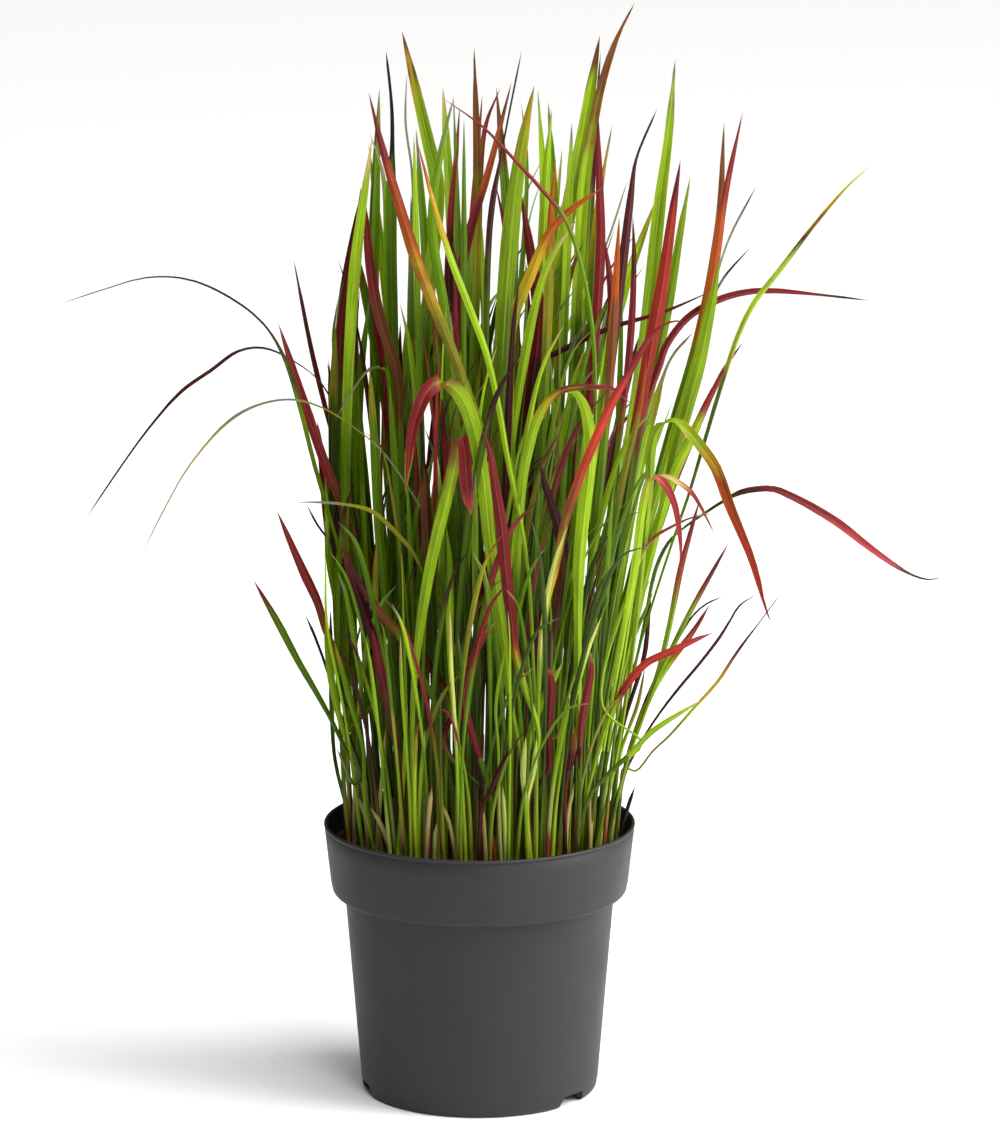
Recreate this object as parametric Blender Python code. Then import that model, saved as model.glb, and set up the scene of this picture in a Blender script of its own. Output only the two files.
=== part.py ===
"""A clump of red-tipped ornamental grass growing in a round plastic nursery pot.

Metres, +Z up. The origin is the centre of the pot's underside, and -Y is the front.
The grass is a set of shoots. Each shoot is one leader leaf with shorter leaves fused
to it low down, as the leaf sheaths of a real shoot wrap one another.
"""
import math
import random

import bmesh
import bpy
import numpy as np
from mathutils import Vector

MM = 0.001

# Pot: a tapered nursery container with a deep collar and drain notches in its foot
SIDES = 36
POT_HEIGHT = 0.168
RIM_RADIUS = 0.095
COLLAR_FOOT_RADIUS = 0.0901
COLLAR_FOOT_HEIGHT = 0.1245
BODY_TOP_RADIUS = 0.0824
BODY_FOOT_RADIUS = 0.0720
WALL = 0.0020
FLOOR = 0.0024
NOTCH_HEIGHT = 0.0072
NOTCH_BOTTOM_WIDTH = 0.024
NOTCH_TOP_WIDTH = 0.019
NOTCH_BEARINGS = (52.5, 104.5, 232.5, 284.5)
NOTCH_OVERRUN = 0.006
NOTCH_UNDERRUN = 0.002
DISC_FOOT_RADIUS = 0.046
RING_FOOT_INNER_RADIUS = 0.0665
RECESS = 0.0070
RECESS_SLANT = 0.0025
ROUNDING = 0.0036

# Soil: fills the pot to a little below the rim, with a pit for each shoot
GAP = 0.0003
WALL_SLANT = 1.15
SOIL_TOP = 0.154
PIT_DEPTH = 0.005
PIT_ROOM = 0.00045

# Leaves, in millimetres: a stem that flattens into a blade, widest about its middle.
# A leaf turns about its length above the stem, by an angle of its own.
STEM_WIDTH = 3.2
STEM_THICKNESS = 2.6
STEM_LENGTH = 95
UPRIGHT_LENGTH = 3
LEAF_THICKNESS = 0.9
WIDTH_STATIONS = (0, 0.12, 0.35, 0.55, 0.8, 0.93, 1)
WIDTH_SHARES = (0.42, 0.46, 0.66, 1.0, 1.2, 0.72, 0.08)
TURN_START = 60
TURN_LENGTH = 90
DEPTH_EASING = 1.15
TALL_LEAF = 460
TALL_LEAF_SPREAD = 1.35

# Side leaves leave the leader's faces between two heights above the soil
FORK_HEIGHTS = ((24, 34), (58, 68))
SIDE_ROOT_LENGTH = 30
SIDE_ROOT_STOUTNESS = 0.3
SIDE_ROOT_STEP = 2.6

# Solids of the leaves: rings every so many millimetres or degrees of bend
PATH_SPACING = 4.0
RING_SPACING = 170
RING_BEND = 26
LEADER_RINGS = (3, 12)
SIDE_RINGS = (3, 9)
SIDE_FIRST_RING = 5

# Leaves are parted along the line of sight, but for the stretch next to their roots
LEAF_CLEARANCE = 1.1
FORK_OPENING = 0.12
HELD_LENGTH = 12
LOOSENING_LENGTH = 60
REACH_ROOM = 9
SETTLING_ROUNDS = 500
SETTLED = 0.05
EVENING = 0.15
STATED_ORDER_WEIGHT = 1000

# The leaf paths are read from one standpoint in front of the pot, in millimetres:
# across and up as they look against the upright plane through the pot's axis, and a
# depth behind that plane. A leaf keeps its looks from there at any depth.
STANDPOINT = (12.5, -4348.7, 1325.0)

# Each leaf: width, how far it turns its edge to the front (degrees), depth at the tip,
# and its path from low to high as (across, up) or (across, up, depth).
# A side leaf starts with its side of the leader (-1 front, 1 back) and its fork.
ARCHING_SHOOTS = (
    ("shoot_arch_left_high", (-66, -8), (4.5, 68, -10, (
        (-76, 215), (-81, 260), (-83, 300), (-85, 335), (-92, 362), (-100, 391), (-109, 428),
        (-118, 457), (-130, 477), (-150, 493), (-175, 504), (-200, 505), (-225, 498),
        (-252, 489)))),
    ("shoot_arch_left_middle", (-52, 34), (4.0, 62, 45, (
        (-62, 250), (-68, 330), (-78, 400), (-95, 440), (-110, 453), (-130, 462), (-145, 460),
        (-162, 448), (-180, 435), (-200, 412), (-220, 384), (-238, 357)))),
    ("shoot_arch_left_low", (-21, -26), (3.6, 62, -48, (
        (-22, 220), (-24, 280), (-27, 345), (-40, 371), (-60, 400), (-75, 413), (-90, 423),
        (-110, 430), (-130, 428), (-150, 418), (-175, 390), (-190, 364), (-205, 334)))),
    ("shoot_arch_right_far", (79, 4), (4.4, 38, -5, (
        (88, 230), (100, 290), (108, 328), (117, 345), (125, 352), (135, 359), (147, 367),
        (158, 373), (168, 375), (178, 375), (190, 370), (208, 360), (220, 352), (235, 340),
        (250, 329), (262, 322), (272, 319), (281, 320.5)))),
    ("shoot_arch_right_red", (70, -36), (5.6, 16, -64, (
        (82, 200), (90, 250), (96, 300), (100, 345), (103, 380), (104, 400), (107, 411),
        (112, 416.5), (118, 417), (125, 412), (135, 400), (143, 388), (151, 366), (158, 349),
        (163, 337), (168, 322), (173, 303), (177, 292)))),
    ("shoot_arch_right_crimson", (58, 8), (4.2, 25, 14, (
        (72, 250), (88, 350), (100, 425), (109, 452), (112, 462), (125, 480), (143, 491),
        (160, 496), (175, 497), (210, 494), (235, 491)))),
    ("shoot_right_long", (73, -14), (3.4, 35, -16, (
        (88, 240), (104, 300), (118, 345), (127, 372), (135, 400), (144, 432), (150, 452),
        (156, 470), (165, 489), (180, 509), (200, 536), (220, 560), (235, 574)))),
    ("shoot_front_hook", (25, -58), (8.0, 8, -104, (
        (28, 185, -60), (26, 205, -62), (22, 225, -63), (18, 247, -65), (15, 280, -67),
        (10, 315, -69), (6, 345, -71), (3, 375, -73), (0, 395, -75), (-4, 415, -78),
        (-10, 431, -82), (-17, 439, -88), (-24, 441, -94), (-31, 436, -98), (-37, 423, -101),
        (-41, 407, -103), (-43, 390, -104), (-45, 371, -104)))),
    ("shoot_front_folded", (-38, -60), (6.5, 8, -86, (
        (-41, 215, -62), (-40, 250, -64), (-37, 280, -66), (-34, 302, -68), (-29, 330, -70),
        (-24, 352, -72), (-19, 372, -74), (-15, 390, -76), (-13, 402, -78), (-11, 407.5, -82),
        (-9, 400, -86), (-8, 385, -87), (-7, 372, -87), (-5, 359, -87)))),
    ("shoot_front_arch", (18, -52), (5.0, 14, -72, (
        (20, 230), (22, 300), (24, 350), (27, 385), (30, 400), (35, 418), (42, 430),
        (50, 436), (60, 438), (70, 438), (80, 437.5), (86, 432), (93, 427)))),
)

UPRIGHT_SHOOTS = (
    ((-60, 14), (4.0, 40, 48, (
        (-66, 240), (-72, 300), (-77, 355), (-84, 390), (-93, 425), (-101, 460), (-111.5, 517))), (
        (-1, 0, 5.5, 20, 0, ((-70, 280), (-73, 325), (-83, 365), (-93, 390), (-103, 420), (-121, 478))),
        (1, 1, 5.0, 25, 42, ((-68, 300), (-73, 400), (-72, 440), (-66, 492))))),
    ((-71, -20), (4.8, 25, -40, (
        (-74, 228), (-80, 250), (-86, 270), (-93, 287), (-98, 305), (-107, 325), (-122.5, 362))), (
        (-1, 0, 4.0, 42, -45, ((-80, 210), (-90, 231), (-100, 250), (-110, 268), (-122, 292), (-137, 319))),
        (1, 1, 2.4, 30, -10, ((-88, 250), (-95, 270), (-100, 284), (-106, 298))))),
    ((-62, -36), (4.2, 25, -52, (
        (-72, 195), (-78, 212), (-84, 228), (-89, 250), (-92, 270), (-94, 291))), (
        (-1, 0, 6.5, 10, -48, ((-76, 190), (-82, 203), (-87, 214))),
        (1, 1, 5.4, 15, -38, ((-58, 250), (-61, 270), (-66, 287), (-71, 302), (-77, 320), (-83, 345))))),
    ((-45, -48), (6.5, 10, -58, (
        (-47, 185), (-50, 212), (-53, 226), (-56, 243), (-60, 262), (-65, 288))), (
        (1, 1, 4.5, 35, -30, ((-44, 250), (-46, 300), (-48, 340), (-50, 380), (-54, 440))),
        (1, 0, 5.5, 20, -20, ((-52, 260), (-60, 340), (-63, 400), (-66, 450))))),
    ((-14, -44), (5.0, 25, -62, (
        (-20, 215), (-26, 240), (-32, 253), (-40, 268), (-50, 287), (-60, 298), (-82, 333))), (
        (1, 1, 5.0, 20, -50, ((-20, 245), (-28, 262), (-38, 275), (-50, 292))),
        (-1, 1, 3.4, 20, -74, ((-20, 225), (-18, 232), (-12, 246), (-6, 262))))),
    ((-44, 8), (4.0, 45, 30, (
        (-50, 250), (-58, 350), (-66, 420), (-71, 460), (-76, 488), (-85, 517))), (
        (-1, 1, 3.0, 45, -15, (
            (-48, 300), (-51, 380), (-53, 430), (-57, 449), (-66, 449), (-75, 438), (-87, 418))),
        (1, 1, 4.5, 30, 50, ((-50, 300), (-55, 430), (-55, 520), (-58, 570), (-65.5, 593))))),
    ((-50, -12), (3.2, 40, -20, ((-60, 250), (-70, 320), (-76, 365), (-78, 391))), (
        (-1, 0, 3.2, 40, -8, ((-66, 270), (-78, 318), (-87, 338), (-98, 353), (-105, 367))),
        (1, 1, 5.5, 15, 10, ((-48, 300), (-48, 400), (-50, 450), (-54, 462), (-62, 490), (-70, 563))))),
    ((20, -16), (6.0, 15, -42, (
        (20, 220), (17, 300), (10, 365), (2, 405), (-8, 437), (-17, 462), (-27, 487), (-38, 517),
        (-48, 550), (-58, 585), (-66, 618))), (
        (-1, 1, 4.0, 30, -34, ((24, 300), (20, 385), (14, 410), (16, 452), (18, 500))),
        (1, 0, 7.0, 10, 5, ((22, 300), (30, 420), (36, 480), (34, 500), (25, 557))))),
    ((-6, -32), (2.4, 40, -62, (
        (-8, 220), (-14, 270), (-23, 302), (-32, 320), (-40, 336), (-50, 348), (-64, 361),
        (-76, 365), (-95, 367), (-113, 367))), (
        (1, 0, 6.0, 20, -10, ((-10, 260), (-14, 400), (-20, 480), (-28, 540), (-21, 590), (-15, 615))),
        (1, 1, 3.4, 30, 5, ((-8, 300), (-9, 450), (-9, 560), (-9, 603))))),
    ((-38, 24), (6.2, 10, 32, (
        (-44, 250), (-50, 380), (-52, 480), (-53, 540), (-52, 605), (-55.5, 643))), (
        (-1, 1, 7.5, 10, 4, ((-42, 280), (-38, 400), (-30, 500), (-25, 560), (-31, 590), (-46, 655))),
        (1, 0, 3.0, 30, 60, ((-44, 300), (-42, 450), (-40, 565), (-44, 600), (-43, 630))))),
    ((-27, -4), (5.5, 20, 14, (
        (-22, 250), (-20, 320), (-18, 400), (-16, 450), (-11, 510), (-4, 540), (4, 565), (19.5, 624))), (
        (-1, 1, 4.2, 25, -20, ((-30, 300), (-36, 450), (-38, 550), (-39, 593))),)),
    ((-15, 30), (5.0, 30, 42, ((-16, 300), (-18, 450), (-17, 545), (-12.5, 588))), (
        (-1, 0, 5.0, 15, 12, ((-12, 300), (-4, 450), (-1, 555), (-2, 610), (-3, 645))),
        (1, 1, 4.5, 25, 58, ((-8, 350), (-2, 480), (0, 560), (4, 598), (13, 621))))),
    ((0, 6), (4.6, 25, 10, ((4, 300), (8, 400), (17, 500), (16, 530), (10, 562))), (
        (-1, 1, 4.2, 40, -16, ((0, 300), (4, 450), (7, 540), (13, 578), (25.5, 643))),
        (1, 0, 3.6, 30, 32, ((5, 300), (20, 450), (28, 550), (28, 585), (25, 612))))),
    ((7, -22), (9.5, 10, -12, (
        (10, 260), (12, 400), (14, 460), (17, 510), (22, 560), (28, 598), (33, 622))), ()),
    ((24, 16), (5.0, 20, 30, ((26, 260), (33, 400), (38, 520), (38, 570), (35, 620))), (
        (-1, 1, 5.5, 15, 6, ((28, 300), (36, 450), (40, 565), (43.5, 608))),
        (1, 1, 8.6, 8, 46, ((32, 350), (44, 480), (54, 550), (60, 580), (67, 622), (72, 652))))),
    ((32, -8), (5.0, 15, 0, ((33, 260), (38, 400), (42, 500), (43, 545), (46, 578))), (
        (-1, 1, 6.0, 10, -32, (
            (27, 260), (20, 380), (18, 440), (20, 477), (31, 507), (42, 532), (52, 544), (74, 560))),
        (1, 0, 5.0, 20, 36, ((40, 350), (47, 440), (50, 480), (55, 508), (63, 528))))),
    ((41, 32), (6.4, 15, 40, (
        (46, 260), (54, 400), (60, 520), (63, 565), (67, 592), (73, 622), (82, 650), (93, 672))), (
        (-1, 1, 5.0, 20, 16, ((44, 300), (50, 450), (54, 560), (55.5, 600))),
        (1, 0, 4.0, 30, 60, ((54, 350), (64, 500), (69.5, 600), (72.5, 642))))),
    ((47, 2), (5.5, 10, 0, ((52, 260), (62, 380), (70, 470), (73, 530), (72, 565), (71, 605))), (
        (-1, 1, 5.5, 15, -26, ((56, 300), (70, 400), (80, 470), (79, 500), (75, 530))),
        (1, 0, 5.0, 25, 22, ((58, 300), (66, 440), (71, 545), (79.5, 598))))),
    ((56, -20), (5.5, 22, -12, (
        (62, 260), (74, 400), (85, 500), (91, 555), (94, 577), (106.5, 608))), (
        (-1, 0, 5.0, 20, -30, ((66, 300), (78, 430), (82, 500), (84, 543))),
        (1, 1, 4.4, 35, 8, ((70, 300), (84, 400), (91, 465), (93, 515), (92, 543))))),
    ((60, 24), (7.0, 15, 35, (
        (70, 260), (88, 390), (99, 465), (103, 500), (108, 550), (113, 590), (117, 638))), (
        (-1, 0, 5.5, 20, 20, ((80, 300), (100, 420), (114, 490), (121, 535), (126.5, 567))),
        (1, 1, 6.0, 20, 52, ((66, 300), (72, 400), (77, 455), (86, 495), (106, 553))))),
    ((67, -2), (7.4, 10, 5, (
        (76, 260), (90, 380), (102, 455), (110, 500), (116, 545), (120.5, 577))), (
        (-1, 0, 5.0, 25, -15, ((88, 300), (115, 400), (132, 460), (141, 510), (147, 553), (157.5, 606))),
        (1, 1, 5.0, 25, 16, ((86, 300), (112, 400), (132, 470), (143, 530), (146.5, 600))))),
    ((70, -28), (7.0, 15, -28, (
        (82, 240), (98, 320), (112, 365), (119, 400), (127, 432), (133, 455), (140, 490), (145, 520))), (
        (-1, 1, 5.5, 15, -44, ((96, 300), (116, 380), (130, 411), (139, 432), (149, 451))),
        (1, 0, 3.2, 35, -6, ((104, 330), (128, 440), (144, 500), (163, 524))))),
    ((64, 42), (4.0, 30, 62, ((80, 260), (110, 380), (136, 480), (149, 527), (166, 561))), (
        (-1, 0, 4.4, 25, 30, ((86, 280), (115, 370), (147, 448), (159, 466))),
        (1, 1, 4.4, 25, 56, ((84, 300), (100, 400), (115, 455), (129, 472))))),
    ((12, 36), (3.6, 12, 12, (
        (18, 260), (20, 380), (24, 425), (30, 449), (50, 461), (80, 475), (110, 484), (140, 497))), (
        (1, 0, 3.4, 35, 44, ((24, 300), (40, 440), (49, 465), (60, 490), (76, 525), (89, 565))),)),
    ((39, -51), (5.2, 14, -74, (
        (36, 200), (36, 240), (38, 275), (41, 305), (46, 325), (52, 355), (60, 380), (70, 405),
        (80, 428), (90, 446), (104, 470), (115, 478), (127, 478))), (
        (-1, 0, 5.0, 15, -76, ((42, 200), (42, 222), (43, 240), (44, 253), (42, 262), (38, 264.5))),
        (1, 1, 3.8, 20, -58, ((46, 220), (52, 240), (58, 262), (65, 290), (72, 312), (79, 338), (84, 365),
                              (90, 395), (97, 425), (101, 455))))),
    ((76, -24), (4.0, 25, -48, (
        (90, 205), (98, 228), (105, 250), (109, 262), (114, 283), (118, 303), (122, 325),
        (127, 345), (133.5, 370))), (
        (-1, 0, 3.6, 22, -58, ((93, 215), (103, 243), (110, 262), (118, 278), (125, 293), (151, 342))),
        (1, 0, 3.4, 25, -32, ((96, 225), (106, 250), (115, 266), (122, 276), (130, 287), (140, 304))))),
    ((83, -9), (2.4, 30, -30, (
        (88, 195), (97, 215), (110, 236), (122, 252), (135, 268), (146, 283), (153, 295),
        (158, 303), (170, 311))), (
        (-1, 0, 3.2, 20, -36, ((95, 199), (106, 212), (116, 221.5), (131, 239), (145, 255), (157, 274), (184, 312))),
        (1, 0, 2.8, 30, -14, (
            (98, 235), (110, 264), (120, 281), (130, 297), (138, 304), (149, 309))))),
    ((58, -48), (4.4, 18, -72, (
        (66, 182), (80, 199), (92, 210), (104, 223), (115, 231), (126, 238), (135, 244))), (
        (1, 0, 4.6, 15, -56, ((80, 235), (93, 258), (103, 268), (112, 272), (130, 281), (142, 286))),
        (1, 1, 2.8, 35, -42, ((75, 240), (90, 310), (104, 343), (117, 352), (130, 358), (143, 360))))),
    ((32, -68), (6.0, 10, -86, (
        (30, 178, -70), (33, 200, -74), (36, 220, -78), (34, 233, -80), (28, 250, -82),
        (22, 273), (19, 300), (16, 325),
        (14, 348), (10, 375), (6, 400), (1, 413))), (
        (1, 0, 4.2, 15, -60, ((29, 200), (31, 222), (36, 238), (44, 254), (51, 268))),
        (1, 1, 3.8, 25, -36, ((33, 260), (30, 320), (26, 350), (17, 395), (12, 425), (4, 460), (-5, 485),
                              (-17, 517), (-27, 550), (-37, 588))))),
    ((58, -64), (5.6, 10, -78, ((61, 180), (61, 205), (62, 228), (65, 246), (68, 262), (67, 276))), (
        (1, 1, 7.4, 10, -64, ((60, 260), (60, 300), (61, 335), (64, 365), (67, 395), (66, 415),
                              (62, 429), (56, 436), (48, 434))),
        (-1, 1, 3.8, 15, -84, ((55, 200), (57, 215), (58, 227))))),
    ((64, -42), (4.5, 22, -80, (
        (80, 240), (93, 320), (100, 370), (104, 382), (108, 382), (113, 377), (118, 366),
        (121, 350), (122, 335), (121, 326))), (
        (1, 1, 3.0, 30, -62, ((84, 250), (96, 330), (104, 380), (113, 383), (120, 379.5), (128, 373.5),
                              (133, 366), (143, 346))),)),
    ((4, -68), (6.5, 10, -84, (
        (7, 178), (5, 192), (1, 205), (-3, 218), (-7, 230), (-10, 243), (-9, 252), (-5, 265),
        (-1, 277), (10, 293))), (
        (1, 1, 5.0, 15, -72, ((4, 180), (8, 188), (13, 200), (18, 212), (23, 226))),
        (1, 0, 3.0, 20, -62, ((-18, 208), (-22, 219), (-17, 233), (-12, 246))))),
    ((-14, -66), (4.2, 18, -62, (
        (-13, 195), (-14, 215), (-16, 238), (-17, 260), (-18, 300), (-18, 330), (-20, 352))), (
        (1, 0, 6.0, 15, -40, ((-24, 240), (-30, 320), (-33, 380), (-36, 430))),)),
    ((40, -30), (6.0, 18, -56, (
        (42, 262), (46, 290), (50, 318), (51, 335), (49, 348), (45, 362), (40, 377), (36, 394))), (
        (-1, 0, 4.4, 12, -40, ((34, 240), (33, 255), (34, 275), (35, 303))),)),
)

# Shoots that have turned red for most of their length
CRIMSON_SHOOTS = ("shoot_arch_right_red", "shoot_arch_right_crimson", "shoot_25", "shoot_26")

# Shoots of the middle and the back: feet spread over the bare soil, leaves by rule
HIDDEN_SHOOTS = 14
HIDDEN_SIDES = ((-1, 0), (1, 1), (-1, 1))
HIDDEN_FEET_RADIUS = 80
HIDDEN_FEET_FRONT = -12
HIDDEN_LEAF_REACH = (400, 610)
HIDDEN_LEAF_LEAN = (0.25, 0.75)
HIDDEN_LEAF_SWING = 22
HIDDEN_LEFT_LIMIT = ((400, 500, 610), (-100, -82, -60))
HIDDEN_SEED = 23


def srgb(code):
    """Linear colour of an sRGB hex code."""
    def linear(value):
        return value / 12.92 if value <= 0.04045 else ((value + 0.055) / 1.055) ** 2.4
    return tuple(linear(int(code[i:i + 2], 16) / 255) for i in (0, 2, 4)) + (1.0,)


def material(name, code, roughness):
    """A plain painted finish."""
    made = bpy.data.materials.new(name)
    made.use_nodes = True
    shader = made.node_tree.nodes["Principled BSDF"]
    shader.inputs["Base Color"].default_value = srgb(code)
    shader.inputs["Roughness"].default_value = roughness
    shader.inputs["Metallic"].default_value = 0.0
    return made


def add_object(name, mesh, finish):
    """Put a mesh in the scene as one named object."""
    mesh.materials.append(finish)
    made = bpy.data.objects.new(name, mesh)
    bpy.context.collection.objects.link(made)
    return made


def turned_mesh(name, profile):
    """Turn a profile of (radius, height) about Z, with one point where it meets the axis."""
    vertices = []
    faces = []
    rings = []
    for radius, height in profile:
        if radius == 0:
            rings.append([len(vertices)])
            vertices.append((0, 0, height))
            continue
        rings.append([len(vertices) + i for i in range(SIDES)])
        for i in range(SIDES):
            bearing = math.tau * (i + 0.5) / SIDES
            vertices.append((radius * math.cos(bearing), radius * math.sin(bearing), height))
    for lower, upper in zip(rings, rings[1:]):
        for i in range(SIDES):
            j = (i + 1) % SIDES
            if len(lower) == 1:
                faces.append((lower[0], upper[j], upper[i]))
            elif len(upper) == 1:
                faces.append((lower[i], lower[j], upper[0]))
            else:
                faces.append((lower[i], lower[j], upper[j], upper[i]))
    mesh = bpy.data.meshes.new(name)
    mesh.from_pydata(vertices, [], faces)
    return mesh


def cut(target, cutter):
    """Take a cutter's shape out of an object."""
    cutter.hide_render = True
    cutter.display_type = "WIRE"
    boolean = target.modifiers.new(cutter.name, "BOOLEAN")
    boolean.operation = "DIFFERENCE"
    boolean.object = cutter


def collar_slope():
    """How much the collar widens for its height."""
    return (RIM_RADIUS - COLLAR_FOOT_RADIUS) / (POT_HEIGHT - COLLAR_FOOT_HEIGHT)


def pot_profile():
    """Underside, outer wall, collar, lip and inner wall, from the axis round to the axis."""
    ledge_top = COLLAR_FOOT_HEIGHT + WALL
    inner_floor = RECESS + FLOOR
    collar_inner_foot = COLLAR_FOOT_RADIUS - WALL
    return (
        (0, 0), (DISC_FOOT_RADIUS, 0), (DISC_FOOT_RADIUS + RECESS_SLANT, RECESS),
        (RING_FOOT_INNER_RADIUS - RECESS_SLANT, RECESS), (RING_FOOT_INNER_RADIUS, 0),
        (BODY_FOOT_RADIUS - 0.94 * ROUNDING, 0), (BODY_FOOT_RADIUS - 0.28 * ROUNDING, 0.28 * ROUNDING),
        (BODY_FOOT_RADIUS, ROUNDING), (BODY_TOP_RADIUS, COLLAR_FOOT_HEIGHT),
        (COLLAR_FOOT_RADIUS - ROUNDING, COLLAR_FOOT_HEIGHT),
        (COLLAR_FOOT_RADIUS - 0.26 * ROUNDING, COLLAR_FOOT_HEIGHT + 0.32 * ROUNDING),
        (COLLAR_FOOT_RADIUS + ROUNDING * collar_slope(), COLLAR_FOOT_HEIGHT + ROUNDING),
        (RIM_RADIUS, POT_HEIGHT - 0.4 * WALL), (RIM_RADIUS - 0.3 * WALL, POT_HEIGHT),
        (RIM_RADIUS - 0.7 * WALL, POT_HEIGHT), (RIM_RADIUS - WALL, POT_HEIGHT - 0.4 * WALL),
        (collar_inner_foot, ledge_top + 1.1 * WALL), (collar_inner_foot - 0.75 * WALL, ledge_top),
        (BODY_TOP_RADIUS - 0.9 * WALL, ledge_top), (BODY_FOOT_RADIUS - 0.75 * WALL, inner_floor),
        (DISC_FOOT_RADIUS + WALL, inner_floor), (DISC_FOOT_RADIUS - 0.4 * WALL, FLOOR), (0, FLOOR),
    )


def soil_profile():
    """The pot's inner profile brought in by the gap, up to the rim of the flat soil surface."""
    inner = pot_profile()[-7:]
    top_radius = inner[0][0] + collar_slope() * (SOIL_TOP - inner[0][1])
    wall = [(radius - GAP * WALL_SLANT, height + GAP) for radius, height in reversed(inner[:-1])]
    return [(0, FLOOR + GAP)] + wall + [(top_radius - GAP * WALL_SLANT, SOIL_TOP)]


def soil_mesh():
    """The soil's sides and underside, closed over by one flat top."""
    mesh = turned_mesh("soil", soil_profile())
    shape = bmesh.new()
    shape.from_mesh(mesh)
    shape.verts.ensure_lookup_table()
    shape.faces.new(shape.verts[-SIDES:])
    bmesh.ops.recalc_face_normals(shape, faces=shape.faces)
    shape.to_mesh(mesh)
    shape.free()
    return mesh


def notch_cutters():
    """Slots with slanted ends, set through the pot's foot ring."""
    vertices = []
    faces = []
    near = RING_FOOT_INNER_RADIUS - NOTCH_OVERRUN
    far = BODY_FOOT_RADIUS + NOTCH_OVERRUN
    slant = (NOTCH_BOTTOM_WIDTH - NOTCH_TOP_WIDTH) / 2 / NOTCH_HEIGHT
    sections = (
        (NOTCH_BOTTOM_WIDTH / 2 + slant * NOTCH_UNDERRUN, -NOTCH_UNDERRUN),
        (NOTCH_TOP_WIDTH / 2, NOTCH_HEIGHT),
    )
    for bearing in NOTCH_BEARINGS:
        angle = math.radians(bearing - 90)
        out = Vector((math.cos(angle), math.sin(angle), 0))
        side = Vector((-out.y, out.x, 0))
        first = len(vertices)
        for radius in (near, far):
            for half_width, height in sections:
                for sign in (-1, 1):
                    vertices.append(out * radius + side * half_width * sign + Vector((0, 0, height)))
        corners = ((0, 2, 3, 1), (4, 5, 7, 6), (0, 1, 5, 4), (2, 6, 7, 3), (0, 4, 6, 2), (1, 3, 7, 5))
        faces.extend(tuple(first + k for k in face) for face in corners)
    mesh = bpy.data.meshes.new("drain_notches")
    mesh.from_pydata(vertices, [], faces)
    return mesh


def from_sight(sight):
    """Real places of points given as across, up and depth from the standpoint."""
    sight = np.asarray(sight, float)
    scale = (sight[..., 2] - STANDPOINT[1]) / -STANDPOINT[1]
    across = STANDPOINT[0] + (sight[..., 0] - STANDPOINT[0]) * scale
    up = STANDPOINT[2] + (sight[..., 1] - STANDPOINT[2]) * scale
    return np.stack((across, sight[..., 2], up), -1)


def to_sight(place):
    """Across, up and depth of real places, as they look from the standpoint."""
    place = np.asarray(place, float)
    scale = -STANDPOINT[1] / (place[..., 1] - STANDPOINT[1])
    across = STANDPOINT[0] + (place[..., 0] - STANDPOINT[0]) * scale
    up = STANDPOINT[2] + (place[..., 2] - STANDPOINT[2]) * scale
    return np.stack((across, up, place[..., 1]), -1)


def travel_along(path):
    """Distance travelled along a path at each of its points."""
    return np.concatenate(([0], np.cumsum(np.linalg.norm(np.diff(path, axis=0), axis=1))))


def smooth_path(points):
    """A Catmull-Rom curve through points, sampled every few millimetres."""
    points = np.asarray(points, float)
    padded = np.vstack((2 * points[0] - points[1], points, 2 * points[-1] - points[-2]))
    knots = np.concatenate(([0], np.cumsum(np.sqrt(np.linalg.norm(np.diff(padded, axis=0), axis=1)))))
    samples = []
    for i in range(1, len(padded) - 2):
        p0, p1, p2, p3 = padded[i - 1:i + 3]
        t0, t1, t2, t3 = knots[i - 1:i + 3]
        steps = max(2, int(np.linalg.norm(p2 - p1) / PATH_SPACING))
        t = np.linspace(t1, t2, steps, endpoint=False)[:, None]
        a1 = (t1 - t) / (t1 - t0) * p0 + (t - t0) / (t1 - t0) * p1
        a2 = (t2 - t) / (t2 - t1) * p1 + (t - t1) / (t2 - t1) * p2
        a3 = (t3 - t) / (t3 - t2) * p2 + (t - t2) / (t3 - t2) * p3
        b1 = (t2 - t) / (t2 - t0) * a1 + (t - t0) / (t2 - t0) * a2
        b2 = (t3 - t) / (t3 - t1) * a2 + (t - t1) / (t3 - t1) * a3
        samples.append((t2 - t) / (t2 - t1) * b1 + (t - t1) / (t2 - t1) * b2)
    samples.append(points[-1:])
    return np.vstack(samples)


def with_depths(points, start_depth, tip_depth):
    """Give every path point a depth, easing from the start to the tip where none is stated."""
    if points[-1][1] > TALL_LEAF:
        tip_depth *= TALL_LEAF_SPREAD
    flat = np.array([point[:2] for point in points], float)
    travel = travel_along(flat)
    eased = start_depth + (tip_depth - start_depth) * (travel / travel[-1]) ** DEPTH_EASING
    depths = [point[2] if len(point) > 2 else eased[k] for k, point in enumerate(points)]
    return np.column_stack((flat, depths))


def stations(path, least, most):
    """Indices along a path for the rings of a leaf: closer together where it bends."""
    steps = np.diff(path, axis=0)
    lengths = np.linalg.norm(steps, axis=1)
    heading = steps / lengths[:, None]
    turns = np.degrees(np.arccos(np.clip((heading[1:] * heading[:-1]).sum(1), -1, 1)))
    measure = np.concatenate(([0], np.cumsum(lengths / RING_SPACING)))
    measure[1:-1] += np.cumsum(turns) / RING_BEND
    measure[-1] += turns.sum() / RING_BEND
    count = int(np.clip(round(measure[-1]), least, most))
    wanted = np.linspace(0, measure[-1], count + 1)
    return sorted({int(np.argmin(abs(measure - value))) for value in wanted})


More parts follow.
